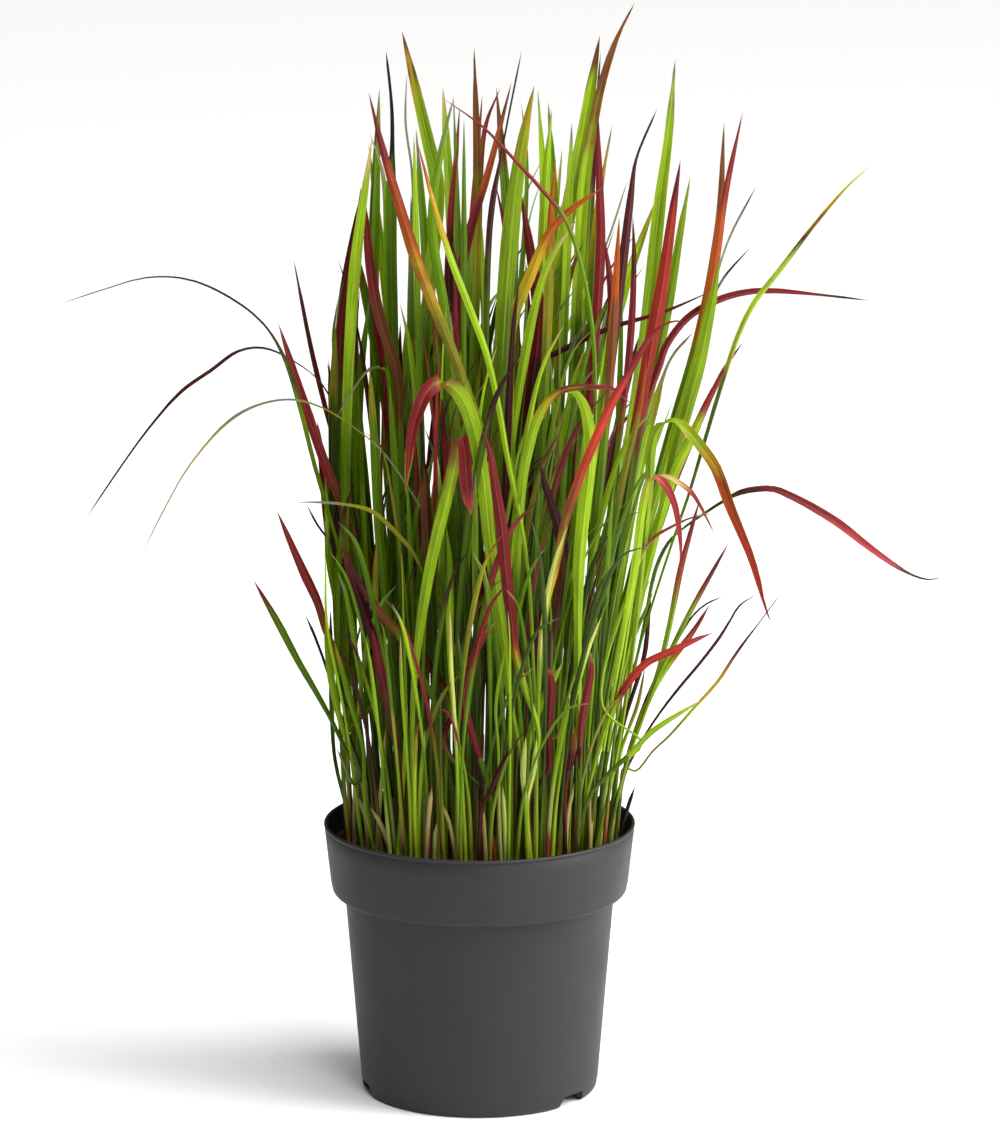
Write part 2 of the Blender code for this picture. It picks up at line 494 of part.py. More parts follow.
class Leaf:
    """One leaf: its path in sight coordinates, and the rings its solid is built on."""

    def __init__(self, width, turn, path, rings, leader=None, fork=None, side=0):
        self.width = width
        self.turn = turn
        self.path = path
        self.rings = rings
        self.leader = leader
        self.fork = fork
        self.side = side
        self.layer = side * (3 - fork // 2) if side else 0
        self.sight = path[rings].copy()
        self.travel = travel_along(path)[rings]
        ease = np.clip((self.travel - HELD_LENGTH) / LOOSENING_LENGTH, 0, 1)
        self.freedom = ease * ease * (3 - 2 * ease)

    def frames(self):
        """Place, width direction and thickness direction of each ring."""
        places = from_sight(self.sight)
        heading = np.gradient(places, axis=0)
        heading[0] = places[1] - places[0]
        heading /= np.linalg.norm(heading, axis=1)[:, None]
        turned = np.radians(self.turn) * np.clip((self.travel - TURN_START) / TURN_LENGTH, 0, 1)
        width_way = np.array((1.0, 0.0, 0.0))
        ways = []
        for forward, angle in zip(heading, np.diff(turned, prepend=0)):
            width_way = width_way - forward * width_way.dot(forward)
            width_way = width_way / np.linalg.norm(width_way)
            width_way = width_way * math.cos(angle) + np.cross(forward, width_way) * math.sin(angle)
            ways.append(width_way)
        ways = np.array(ways)
        return places, ways, np.cross(heading, ways)

    def breadths(self):
        """Width and thickness at each ring: a stout stem, a broad middle and a fine tip."""
        share = self.travel / self.travel[-1]
        width = self.width * np.interp(share, WIDTH_STATIONS, WIDTH_SHARES)
        if self.leader is None:
            stem = np.clip(1 - self.travel / STEM_LENGTH, 0, 1)
        else:
            stem = np.clip(1 - self.travel / SIDE_ROOT_LENGTH, 0, 1) * SIDE_ROOT_STOUTNESS
        width = width * (1 - stem) + STEM_WIDTH * stem
        thickness = LEAF_THICKNESS + (STEM_THICKNESS - LEAF_THICKNESS) * np.minimum(stem * 1.6, 1)
        return width, thickness * np.interp(share, (0, 0.8, 1), (1, 1, 0.5))


def leader_leaf(foot, width, turn, tip_depth, points, forks):
    """A leaf that starts in the soil, upright for its first few millimetres."""
    soil = SOIL_TOP / MM
    start = to_sight((foot[0], foot[1], soil - (PIT_DEPTH - GAP) / MM))
    surface = to_sight((foot[0], foot[1], soil + UPRIGHT_LENGTH))
    path = with_depths([tuple(surface[:2])] + list(points), foot[1], tip_depth)
    path[0] = surface
    path = np.vstack((start, smooth_path(path)))
    heights = from_sight(path)[:, 2] - soil
    fork_rings = [int(np.argmax(heights > height)) for fork in forks for height in FORK_HEIGHTS[fork]]
    first_free = fork_rings[-1] if fork_rings else 1
    upper = [first_free + k for k in stations(path[first_free:], *LEADER_RINGS)]
    return Leaf(width, turn, path, sorted({0, 1, *fork_rings, *upper}))


def side_leaf(leader, forks, side, fork, width, turn, tip_depth, points):
    """A leaf that leaves one face of the leader between the two rings of a fork."""
    low = 2 + 2 * forks.index(fork)
    start = (leader.sight[low] + leader.sight[low + 1]) / 2
    start[2] += side * STEM_THICKNESS / 2
    away = start + (leader.sight[low + 1] - leader.sight[low]) * 1.6
    away[2] += side * SIDE_ROOT_STEP
    path = with_depths([tuple(away[:2])] + list(points), away[2], tip_depth)
    path[0] = away
    path = smooth_path(np.vstack((start, path)))
    rings = stations(path, *SIDE_RINGS)
    if rings[1] > SIDE_FIRST_RING:
        rings.insert(1, SIDE_FIRST_RING)
    return Leaf(width, turn, path, rings, leader, low, side)


def open_feet(taken, count):
    """Feet for more shoots: each where the soil of the middle and back is barest."""
    golden = math.pi * (3 - math.sqrt(5))
    places = []
    for k in range(600):
        radius = HIDDEN_FEET_RADIUS * math.sqrt((k + 0.5) / 600)
        spot = (radius * math.cos(golden * k), radius * math.sin(golden * k))
        if spot[1] > HIDDEN_FEET_FRONT:
            places.append(spot)
    taken = list(taken)
    chosen = []
    for _ in range(count):
        best = max(places, key=lambda spot: min(math.dist(spot, foot) for foot in taken))
        taken.append(best)
        chosen.append(best)
    return chosen


def hidden_shoots(taken):
    """Plans of the shoots at the back of the clump, which lean away from its middle."""
    chance = random.Random(HIDDEN_SEED)
    plans = []
    for number, (across, depth) in enumerate(open_feet(taken, HIDDEN_SHOOTS), 1):
        leaves = []
        for _ in range(1 + len(HIDDEN_SIDES)):
            reach = chance.uniform(*HIDDEN_LEAF_REACH)
            lean = chance.uniform(*HIDDEN_LEAF_LEAN)
            swing = chance.uniform(-HIDDEN_LEAF_SWING, HIDDEN_LEAF_SWING)
            past = np.interp(reach, *HIDDEN_LEFT_LIMIT) - across * (1 + lean * 1.05) - swing * 1.1
            swing += max(past, 0) / 1.1
            seen = [
                tuple(to_sight((across * (1 + lean * out) + swing * out ** 2,
                                depth * (1 + lean * out), reach * up)))
                for out, up in ((0.4, 0.62), (0.75, 0.85), (1.05, 1))]
            leaves.append((chance.uniform(4.5, 7.0), chance.uniform(10, 50), seen[-1][2], seen))
        sides = [(*place, *leaf) for place, leaf in zip(HIDDEN_SIDES, leaves[1:])]
        plans.append((f"shoot_back_{number:02d}", (across, depth), leaves[0], sides))
    return plans


def grow_shoots():
    """Every shoot as a name and its leaves, leader first."""
    plans = [(*shoot, ()) for shoot in ARCHING_SHOOTS]
    plans += [(f"shoot_{number:02d}", *shoot) for number, shoot in enumerate(UPRIGHT_SHOOTS, 1)]
    plans += hidden_shoots([foot for _, foot, _, _ in plans])
    leaders = []
    for _, foot, leaf, sides in plans:
        forks = sorted({fork for _, fork, *_ in sides})
        leaders.append(leader_leaf(foot, *leaf, forks))
    settle(leaders, [])
    side_leaves = []
    for leader, (_, _, _, sides) in zip(leaders, plans):
        forks = sorted({fork for _, fork, *_ in sides})
        side_leaves.append([side_leaf(leader, forks, *side) for side in sides])
    settle([leaf for row in side_leaves for leaf in row], leaders)
    return [(name, [leader] + row) for (name, *_), leader, row in zip(plans, leaders, side_leaves)]


class Samples:
    """Points every few millimetres along a leaf's chords, for keeping leaves apart."""

    def __init__(self, leaf, first_ring):
        _, ways, thick_ways = leaf.frames()
        width, thickness = leaf.breadths()
        across = 0.5 * (width * np.hypot(ways[:, 0], ways[:, 2]) + thickness)
        deep = 0.5 * (width * abs(ways[:, 1]) + thickness * abs(thick_ways[:, 1]))
        flat = leaf.sight[:, :2]
        low, share = [], []
        for k, length in enumerate(np.linalg.norm(np.diff(flat, axis=0), axis=1)):
            count = max(1, int(length / PATH_SPACING))
            low.extend([k] * count)
            share.extend(np.arange(count) / count)
        low.append(len(flat) - 2)
        share.append(1.0)
        self.low = np.array(low)
        self.share = np.array(share)
        mix = self.share[:, None]
        self.flat = flat[self.low] * (1 - mix) + flat[self.low + 1] * mix
        self.across = self.blend(across)
        self.deep = self.blend(deep)
        self.travel = self.blend(leaf.travel)
        self.ring = first_ring + self.low
        self.low_corner = self.flat.min(0) - REACH_ROOM
        self.high_corner = self.flat.max(0) + REACH_ROOM

    def blend(self, values):
        """Values at the rings, read at the samples."""
        return values[self.low] * (1 - self.share) + values[self.low + 1] * self.share


def contacts(leaves, samples, movable):
    """Pairs of samples that look closer than the leaves' own breadths.

    Each is (leaf, sample, leaf, sample, depth to keep, stretch number, stated order).
    """
    found = []
    stretch = 0
    for i, first in enumerate(samples):
        for j in range(i + 1, len(samples)):
            second = samples[j]
            if not (movable[i] or movable[j]):
                continue
            if (first.low_corner > second.high_corner).any() or (
                    second.low_corner > first.high_corner).any():
                continue
            apart = np.linalg.norm(first.flat[:, None] - second.flat[None], axis=2)
            nearest = apart.argmin(1)
            distance = apart[np.arange(len(nearest)), nearest]
            close = distance < first.across + second.across[nearest] + LEAF_CLEARANCE
            one_shoot = (leaves[i].leader or leaves[i]) is (leaves[j].leader or leaves[j])
            order = leaves[i].layer - leaves[j].layer if one_shoot else 0
            previous = -9
            for a in np.flatnonzero(close):
                b = nearest[a]
                keep = first.deep[a] + second.deep[b] + LEAF_CLEARANCE
                if one_shoot:
                    out = max(first.travel[a] if leaves[i].leader else 0,
                              second.travel[b] if leaves[j].leader else 0)
                    keep = min(keep, FORK_OPENING * out)
                if a > previous + 2:
                    stretch += 1
                previous = a
                found.append((i, a, j, b, keep, stretch, order))
    return found


def settle(free, fixed):
    """Move leaves nearer or farther, along the line of sight, until none runs through another."""
    leaves = free + fixed
    movable = [True] * len(free) + [False] * len(fixed)
    starts = np.cumsum([0] + [len(leaf.rings) for leaf in leaves])
    samples = [Samples(leaf, start) for leaf, start in zip(leaves, starts)]
    depth = np.concatenate([leaf.sight[:, 2] for leaf in leaves])
    freedom = np.concatenate([
        leaf.freedom * (1.0 if moves else 0.0) for leaf, moves in zip(leaves, movable)])
    found = contacts(leaves, samples, movable)
    ring_a = np.array([samples[i].ring[a] for i, a, *_ in found])
    share_a = np.array([samples[i].share[a] for i, a, *_ in found])
    ring_b = np.array([samples[j].ring[b] for _, _, j, b, *_ in found])
    share_b = np.array([samples[j].share[b] for _, _, j, b, *_ in found])
    keep, stretch, stated = (np.array([row[k] for row in found]) for k in (4, 5, 6))

    def difference():
        first = depth[ring_a] * (1 - share_a) + depth[ring_a + 1] * share_a
        second = depth[ring_b] * (1 - share_b) + depth[ring_b + 1] * share_b
        return first - second

    order = np.zeros(stretch.max() + 1)
    np.add.at(order, stretch, difference() + stated * STATED_ORDER_WEIGHT)
    way = np.where(order[stretch] >= 0, 1.0, -1.0)
    free_a = freedom[ring_a] * (1 - share_a) + freedom[ring_a + 1] * share_a
    free_b = freedom[ring_b] * (1 - share_b) + freedom[ring_b + 1] * share_b
    total = np.maximum(free_a + free_b, 0.05)
    before, after, mix = [], [], []
    for leaf, start in zip(leaves, starts):
        last = len(leaf.rings) - 1
        for k in range(last + 1):
            low, high = max(k - 1, 0), min(k + 1, last)
            before.append(start + low)
            after.append(start + high)
            mix.append((leaf.travel[k] - leaf.travel[low]) / (leaf.travel[high] - leaf.travel[low]))
    before, after, mix = np.array(before), np.array(after), np.array(mix)
    inner = (before < np.arange(len(before))) & (after > np.arange(len(before)))
    natural = depth.copy()
    ends = (
        (ring_a, 1 - share_a, share_a, way * free_a), (ring_a + 1, share_a, 1 - share_a, way * free_a),
        (ring_b, 1 - share_b, share_b, -way * free_b), (ring_b + 1, share_b, 1 - share_b, -way * free_b))
    for _ in range(SETTLING_ROUNDS):
        short = np.maximum(keep - way * difference(), 0)
        if short.max() < SETTLED:
            break
        push = np.zeros(len(depth))
        weight = np.full(len(depth), 1e-9)
        for ring, share, other, toward in ends:
            strength = share * (short > 0)
            np.add.at(push, ring, toward * short / total * share / (share ** 2 + other ** 2) * strength)
            np.add.at(weight, ring, strength)
        depth = depth + freedom * push / weight
        strain = depth - natural
        even = strain[before] * (1 - mix) + strain[after] * mix
        depth = depth + freedom * inner * (even - strain) * EVENING
    for leaf, start, moves in zip(leaves, starts, movable):
        if moves:
            leaf.sight[:, 2] = depth[start:start + len(leaf.rings)]


def shoot_mesh(name, leaves):
    """One closed skin over a leader and the leaves that leave it.

    Both faces of a blade are split along the same diagonal, so a turning blade keeps its
    thickness.
    """
    vertices = []
    faces = []
    leader_rings = []
    for leaf in leaves:
        places, ways, thick_ways = leaf.frames()
        width, thickness = leaf.breadths()
        rings = []
        for k, (place, way, thick_way) in enumerate(zip(places, ways, thick_ways)):
            if k == len(places) - 1:
                rings.append([len(vertices)])
                vertices.append(place * MM)
                continue
            if k == 0 and leaf.leader is not None:
                lower, upper = leader_rings[leaf.fork], leader_rings[leaf.fork + 1]
                if leaf.side < 0:
                    rings.append([lower[0], lower[1], upper[1], upper[0]])
                else:
                    rings.append([upper[3], upper[2], lower[2], lower[3]])
                continue
            side = way * width[k] / 2
            face = thick_way * thickness[k] / 2
            rings.append([len(vertices) + i for i in range(4)])
            vertices.extend(corner * MM for corner in (
                place - side - face, place + side - face, place + side + face, place - side + face))
        if leaf.leader is None:
            leader_rings = rings
            faces.append(tuple(reversed(rings[0])))
        for k, (lower, upper) in enumerate(zip(rings, rings[1:])):
            for i in range(4):
                j = (i + 1) % 4
                if leaf.leader is None and i in (0, 2) and any(
                        other.fork == k and (other.side < 0) == (i == 0) for other in leaves[1:]):
                    continue
                if len(upper) == 1:
                    faces.append((lower[i], lower[j], upper[0]))
                elif i == 0:
                    faces.extend(((lower[0], lower[1], upper[1]), (lower[0], upper[1], upper[0])))
                elif i == 2:
                    faces.extend(((lower[2], lower[3], upper[2]), (lower[3], upper[3], upper[2])))
                else:
                    faces.append((lower[i], lower[j], upper[j], upper[i]))
    mesh = bpy.data.meshes.new(name)
    mesh.from_pydata([tuple(map(float, vertex)) for vertex in vertices], [], faces)
    return mesh


def pit_cutters(shoots):
    """A pit a little larger than each leader's foot."""
    vertices = []
    faces = []
    half_x = STEM_WIDTH * MM / 2 + PIT_ROOM
    half_y = STEM_THICKNESS * MM / 2 + PIT_ROOM
    for _, leaves in shoots:
        x, y, _ = from_sight(leaves[0].sight[0]) * MM
        first = len(vertices)
        for z in (SOIL_TOP - PIT_DEPTH, SOIL_TOP + PIT_DEPTH):
            vertices.extend((x + half_x * i, y + half_y * j, z) for i, j in (
                (-1, -1), (1, -1), (1, 1), (-1, 1)))
        corners = ((3, 2, 1, 0), (4, 5, 6, 7), (0, 1, 5, 4), (1, 2, 6, 5), (2, 3, 7, 6), (3, 0, 4, 7))
        faces.extend(tuple(first + k for k in face) for face in corners)
    mesh = bpy.data.meshes.new("pits")
    mesh.from_pydata(vertices, [], faces)
    return mesh


def main():
    for old in list(bpy.data.objects):
        bpy.data.objects.remove(old)
    cutter = material("cutter", "FFFFFF", 1.0)
    pot = add_object("pot", turned_mesh("pot", pot_profile()), material("grey_plastic", "4A4A4C", 0.5))
    cut(pot, add_object("drain_notches", notch_cutters(), cutter))
    pot.data.shade_smooth()
    pot.data.set_sharp_from_angle(angle=math.radians(35))

    shoots = grow_shoots()
    soil = add_object("soil", soil_mesh(), material("potting_soil", "231A14", 0.95))
    cut(soil, add_object("pits", pit_cutters(shoots), cutter))

    green = material("leaf_green", "6E9A24", 0.45)
    crimson = material("leaf_crimson", "8E1F33", 0.45)
    for name, leaves in shoots:
        add_object(name, shoot_mesh(name, leaves), crimson if name in CRIMSON_SHOOTS else green)


main()
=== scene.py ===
"""Looks of a clump of red-tipped ornamental grass in a round plastic nursery pot.

Metres, +Z up, with the origin at the centre of the pot's underside and the front at -Y.
Leaves are measured in millimetres, as the lists of their paths are.
"""
import math
import random

import bmesh
import bpy
import numpy as np
from mathutils import Matrix, Vector, noise


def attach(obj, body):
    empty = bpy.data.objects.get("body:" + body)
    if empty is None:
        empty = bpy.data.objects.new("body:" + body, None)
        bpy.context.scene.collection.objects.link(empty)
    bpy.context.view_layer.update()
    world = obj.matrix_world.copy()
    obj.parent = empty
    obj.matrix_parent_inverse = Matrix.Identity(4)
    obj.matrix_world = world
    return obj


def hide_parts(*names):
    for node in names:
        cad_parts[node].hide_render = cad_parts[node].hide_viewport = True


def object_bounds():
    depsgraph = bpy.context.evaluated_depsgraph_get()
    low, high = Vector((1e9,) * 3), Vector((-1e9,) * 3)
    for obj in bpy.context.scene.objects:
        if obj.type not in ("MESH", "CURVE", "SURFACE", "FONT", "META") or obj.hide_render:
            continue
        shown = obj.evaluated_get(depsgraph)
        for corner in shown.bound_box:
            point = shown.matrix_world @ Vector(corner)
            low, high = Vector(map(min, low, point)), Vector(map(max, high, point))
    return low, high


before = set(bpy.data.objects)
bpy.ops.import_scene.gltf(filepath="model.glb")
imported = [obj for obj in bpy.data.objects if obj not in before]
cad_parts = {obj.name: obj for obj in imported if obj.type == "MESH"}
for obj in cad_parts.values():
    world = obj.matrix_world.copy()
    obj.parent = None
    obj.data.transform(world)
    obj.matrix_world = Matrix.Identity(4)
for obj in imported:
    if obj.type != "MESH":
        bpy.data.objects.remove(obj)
packed_box = [list(corner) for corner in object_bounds()]
MM = 0.001


# Studio: a seamless sheet of pale paper, flat and wide, that the pot stands on. It belongs to
# the studio, not to the object. Matt white paper throws soft light back up into the foliage.
PAPER = "F7F7F6"
PAPER_HALF_WIDTH = 40.0
SKY_STRENGTH = 0.10


def linear(code):
    """Linear colour of an sRGB hex code."""
    values = [int(code[i:i + 2], 16) / 255 for i in (0, 2, 4)]
    return tuple(v / 12.92 if v <= 0.04045 else ((v + 0.055) / 1.055) ** 2.4 for v in values) + (1.0,)


def new_material(name, base, roughness, ior):
    """A Principled material with values that are the same all over it, its nodes and its shader."""
    made = bpy.data.materials.new(name)
    made.use_nodes = True
    shader = made.node_tree.nodes["Principled BSDF"]
    shader.inputs["Base Color"].default_value = linear(base)
    shader.inputs["Roughness"].default_value = roughness
    shader.inputs["IOR"].default_value = ior
    return made, made.node_tree.nodes, shader


floor_mesh = bpy.data.meshes.new("paper_sweep")
floor_mesh.from_pydata(
    [(x * PAPER_HALF_WIDTH, y * PAPER_HALF_WIDTH, 0) for x, y in ((-1, -1), (1, -1), (1, 1), (-1, 1))],
    [], [(0, 1, 2, 3)])
floor_mesh.materials.append(new_material("matt_paper", PAPER, 0.9, 1.5)[0])
floor = bpy.data.objects.new("paper_sweep", floor_mesh)
bpy.context.collection.objects.link(floor)

studio_air = bpy.data.worlds.new("studio_air")
studio_air.use_nodes = True
sky = studio_air.node_tree.nodes["Background"]
sky.inputs["Color"].default_value = linear("FFFFFF")
sky.inputs["Strength"].default_value = SKY_STRENGTH
bpy.context.scene.world = studio_air
bpy.context.scene.view_settings.view_transform = "Standard"

# Silk: one broad sheet of light overhead, a little to the front and right, as even over
# the whole sweep as daylight through a diffuser.
SILK_STRENGTH = 2.85
SILK_SPREAD = 62
SILK_LEAN = (16, 12)
silk_light = bpy.data.lights.new("overhead_silk", "SUN")
silk_light.energy = SILK_STRENGTH
silk_light.angle = math.radians(SILK_SPREAD)
silk = bpy.data.objects.new("overhead_silk", silk_light)
silk.rotation_euler = (math.radians(SILK_LEAN[0]), math.radians(SILK_LEAN[1]), 0)
bpy.context.collection.objects.link(silk)

# Softboxes: place, size in metres, power in watts. The stronger stands to the right of the
# pot, and the other lifts the front.
SOFTBOXES = (
    ("softbox_right", (2.7, -0.6, 1.7), 2.8, 172),
    ("softbox_front", (0.9, -2.6, 1.5), 1.0, 22),
)
AIM = Vector((0, 0, 0.33))
for name, place, size, power in SOFTBOXES:
    lamp = bpy.data.lights.new(name, "AREA")
    lamp.shape = "DISK"
    lamp.size = size
    lamp.energy = power
    softbox = bpy.data.objects.new(name, lamp)
    softbox.location = place
    softbox.rotation_euler = (AIM - Vector(place)).to_track_quat("-Z", "Y").to_euler()
    bpy.context.collection.objects.link(softbox)

# Camera: a long lens a little above the leaves' tips, tilted down. Its height and tilt come
# from how far the rim and the foot of the pot open as ellipses.
STANDPOINT = (12.5, -4348.7, 1325.0)
TILT_DOWN = 12.95
LENS = 232.6
lens = bpy.data.cameras.new("camera")
lens.lens = LENS
lens.sensor_width = 36.0
camera = bpy.data.objects.new("camera", lens)
camera.location = Vector(STANDPOINT) * MM
camera.rotation_euler = (math.radians(90 - TILT_DOWN), 0, 0)
bpy.context.collection.objects.link(camera)
bpy.context.scene.camera = camera


# Pot: a nursery container, injection moulded in grey polypropylene in one shot. A deep
# collar stiffens the mouth, and notches through its foot ring let water out.
POT_SIDES = 180
POT_HEIGHT = 0.168
RIM_RADIUS = 0.095
COLLAR_FOOT_RADIUS = 0.0901
COLLAR_FOOT_HEIGHT = 0.1245
BODY_TOP_RADIUS = 0.0824
BODY_FOOT_RADIUS = 0.0720
WALL = 0.0020
FLOOR = 0.0024
NOTCH_HEIGHT = 0.0072
NOTCH_BOTTOM_WIDTH = 0.024
NOTCH_TOP_WIDTH = 0.019
NOTCH_BEARINGS = (52.5, 104.5, 232.5, 284.5)
DISC_FOOT_RADIUS = 0.046
RING_FOOT_INNER_RADIUS = 0.0665
RECESS = 0.0070
LIP_BEAD = 0.0011
COLLAR_ROUNDING = 0.0034
FOOT_ROUNDING = 0.0040
NECK_ROUNDING = 0.0012
RECESS_DRAFT = 0.0025
LIP_NECK = 0.0010
NOTCH_OVERCUT = 0.006
SHARP_EDGE = 40
PLASTIC = "232325"


def add_node(nodes, kind, links=(), **settings):
    """Add a node, set its properties or inputs by name, and link outputs into its inputs."""
    made = nodes.new(kind)
    for key, value in settings.items():
        if key in made.inputs:
            made.inputs[key].default_value = value
        else:
            setattr(made, key, value)
    for socket, source in links:
        nodes.id_data.links.new(source, made.inputs[socket])
    return made


def arc(centre, radius, start, end, steps):
    """Points on a circular arc in a profile, angles in degrees from the outward direction."""
    angles = np.radians(np.linspace(start, end, steps + 1))
    return [(centre[0] + radius * math.cos(a), centre[1] + radius * math.sin(a)) for a in angles]


def circle(shape, radius, height, sides):
    """A level ring of vertices round the upright axis."""
    angles = [math.tau * i / sides for i in range(sides)]
    return [shape.verts.new((radius * math.cos(a), radius * math.sin(a), height)) for a in angles]


def join_rings(shape, rings, sides):
    """Faces between each ring and the next; a ring of one vertex closes to a point."""
    for lower, upper in zip(rings, rings[1:]):
        for i in range(sides):
            j = (i + 1) % sides
            corners = [lower[k % len(lower)] for k in (i, j)] + [upper[k % len(upper)] for k in (j, i)]
            shape.faces.new(list(dict.fromkeys(corners)))


def finished_mesh(shape, name):
    """The mesh of a finished shape, with its faces turned outward."""
    bmesh.ops.recalc_face_normals(shape, faces=shape.faces)
    mesh = bpy.data.meshes.new(name)
    shape.to_mesh(mesh)
    shape.free()
    return mesh


def turned(name, profile, sides):
    """Turn a profile of (radius, height) about Z, closing over where it meets the axis."""
    shape = bmesh.new()
    rings = []
    for radius, height in profile:
        if radius == 0:
            rings.append([shape.verts.new((0, 0, height))])
            continue
        rings.append(circle(shape, radius, height, sides))
    join_rings(shape, rings, sides)
    return finished_mesh(shape, name)


def pot_profile():
    """Underside, body, collar, beaded lip and inner wall, from the axis round to the axis."""
    slope = (RIM_RADIUS - COLLAR_FOOT_RADIUS) / (POT_HEIGHT - COLLAR_FOOT_HEIGHT)
    ledge_top = COLLAR_FOOT_HEIGHT + WALL
    inner_floor = RECESS + FLOOR
    body_slope = (BODY_TOP_RADIUS - BODY_FOOT_RADIUS) / COLLAR_FOOT_HEIGHT
    points = [
        (0, 0), (DISC_FOOT_RADIUS, 0), (DISC_FOOT_RADIUS + RECESS_DRAFT, RECESS),
        (RING_FOOT_INNER_RADIUS - RECESS_DRAFT, RECESS), (RING_FOOT_INNER_RADIUS, 0)]
    points += arc((BODY_FOOT_RADIUS - FOOT_ROUNDING, FOOT_ROUNDING), FOOT_ROUNDING, -90, 0, 6)
    middle = np.linspace(2 * FOOT_ROUNDING, COLLAR_FOOT_HEIGHT - 0.0030, 8)
    points += [(BODY_FOOT_RADIUS + body_slope * height, height) for height in middle]
    points += arc((BODY_TOP_RADIUS + NECK_ROUNDING, COLLAR_FOOT_HEIGHT - NECK_ROUNDING),
                  NECK_ROUNDING, 180, 90, 4)
    points += arc((COLLAR_FOOT_RADIUS - COLLAR_ROUNDING, COLLAR_FOOT_HEIGHT + COLLAR_ROUNDING),
                  COLLAR_ROUNDING, -90, 0, 6)
    lower = COLLAR_FOOT_HEIGHT + 2 * COLLAR_ROUNDING
    points += [(COLLAR_FOOT_RADIUS + slope * (height - COLLAR_FOOT_HEIGHT), height)
               for height in np.linspace(lower, POT_HEIGHT - 0.0042, 5)]
    neck = RIM_RADIUS - LIP_NECK
    points += [(neck, POT_HEIGHT - 0.0033), (neck, POT_HEIGHT - 0.0026)]
    points += arc((RIM_RADIUS - LIP_BEAD, POT_HEIGHT - LIP_BEAD), LIP_BEAD, -50, 180, 10)
    points += [
        (RIM_RADIUS - 2 * LIP_BEAD - 0.0002, POT_HEIGHT - 0.0040),
        (COLLAR_FOOT_RADIUS - WALL, ledge_top + 0.0022),
        (COLLAR_FOOT_RADIUS - WALL - 0.0015, ledge_top),
        (BODY_TOP_RADIUS - WALL, ledge_top),
        (BODY_FOOT_RADIUS - 0.75 * WALL, inner_floor),
        (DISC_FOOT_RADIUS + WALL, inner_floor), (DISC_FOOT_RADIUS - 0.4 * WALL, FLOOR), (0, FLOOR)]
    return points


def notch_cutter():
    """Slots with slanted ends through the foot ring, one for each bearing."""
    shape = bmesh.new()
    near = RING_FOOT_INNER_RADIUS - NOTCH_OVERCUT
    far = BODY_FOOT_RADIUS + NOTCH_OVERCUT
    for bearing in NOTCH_BEARINGS:
        angle = math.radians(bearing - 90)
        out = Vector((math.cos(angle), math.sin(angle), 0))
        side = Vector((-out.y, out.x, 0))
        outline = ((-NOTCH_BOTTOM_WIDTH / 2 - 0.0007, -0.002), (NOTCH_BOTTOM_WIDTH / 2 + 0.0007, -0.002),
                   (NOTCH_TOP_WIDTH / 2, NOTCH_HEIGHT), (-NOTCH_TOP_WIDTH / 2, NOTCH_HEIGHT))
        ends = [
            [shape.verts.new(out * radius + side * across + Vector((0, 0, up))) for across, up in outline]
            for radius in (near, far)]
        shape.faces.new(ends[0])
        shape.faces.new(reversed(ends[1]))
        for i in range(4):
            j = (i + 1) % 4
            shape.faces.new((ends[0][i], ends[1][i], ends[1][j], ends[0][j]))
    return finished_mesh(shape, "notch_cutter")


# Sizes in millimetres of the marks in the plastic: the mould's grain, the streaks that the
# melt leaves as it flows, and patches of dust and handling.
MOULD_GRAIN = 0.9
STREAK_WIDTH = 50 / 3
STREAK_LENGTH = 500 / 3
DUST_PATCH = 45


def moulded_polypropylene():
    """Polypropylene from a lightly grained mould: a dull sheen that breaks up at grazing angles.

    The flow of the melt leaves faint upright streaks, and handling leaves dusty, rubbed patches.
    """
    made, nodes, shader = new_material("moulded_polypropylene", PLASTIC, 0.46, 1.49)
    place = add_node(nodes, "ShaderNodeTexCoord").outputs["Object"]
    streaks = add_node(nodes, "ShaderNodeMapping", [("Vector", place)],
                       Scale=(1000 / STREAK_WIDTH, 1000 / STREAK_WIDTH, 1000 / STREAK_LENGTH))
    flow = add_node(nodes, "ShaderNodeTexNoise", [("Vector", streaks.outputs[0])], Scale=1.0, Detail=4.0)
    dust = add_node(nodes, "ShaderNodeTexNoise", [("Vector", place)],
                    Scale=1000 / DUST_PATCH, Detail=7.0, Roughness=0.62)
    grain = add_node(nodes, "ShaderNodeTexNoise", [("Vector", place)], Scale=1000 / MOULD_GRAIN, Detail=2.0)
    shade = add_node(nodes, "ShaderNodeMix", [("Factor", flow.outputs["Fac"])], data_type="RGBA")
    shade.inputs["A"].default_value = linear("202022")
    shade.inputs["B"].default_value = linear("262628")
    dusty = add_node(nodes, "ShaderNodeMapRange", [("Value", dust.outputs["Fac"])],
                     **{"From Min": 0.5, "From Max": 0.75, "To Min": 0.0, "To Max": 0.16})
    coat = add_node(nodes, "ShaderNodeMix", [("Factor", dusty.outputs[0])], data_type="RGBA")
    nodes.id_data.links.new(shade.outputs["Result"], coat.inputs["A"])
    coat.inputs["B"].default_value = linear("3C3A37")
    nodes.id_data.links.new(coat.outputs["Result"], shader.inputs["Base Color"])
    rubbed = add_node(nodes, "ShaderNodeMapRange", [("Value", dust.outputs["Fac"])],
                      **{"From Min": 0.3, "From Max": 0.7, "To Min": 0.46, "To Max": 0.60})
    nodes.id_data.links.new(rubbed.outputs[0], shader.inputs["Roughness"])
    shader.inputs["Specular IOR Level"].default_value = 0.3
    relief = add_node(nodes, "ShaderNodeBump", [("Height", grain.outputs["Fac"])],
                      Strength=0.25, Distance=0.0001)
    nodes.id_data.links.new(relief.outputs[0], shader.inputs["Normal"])
    return made


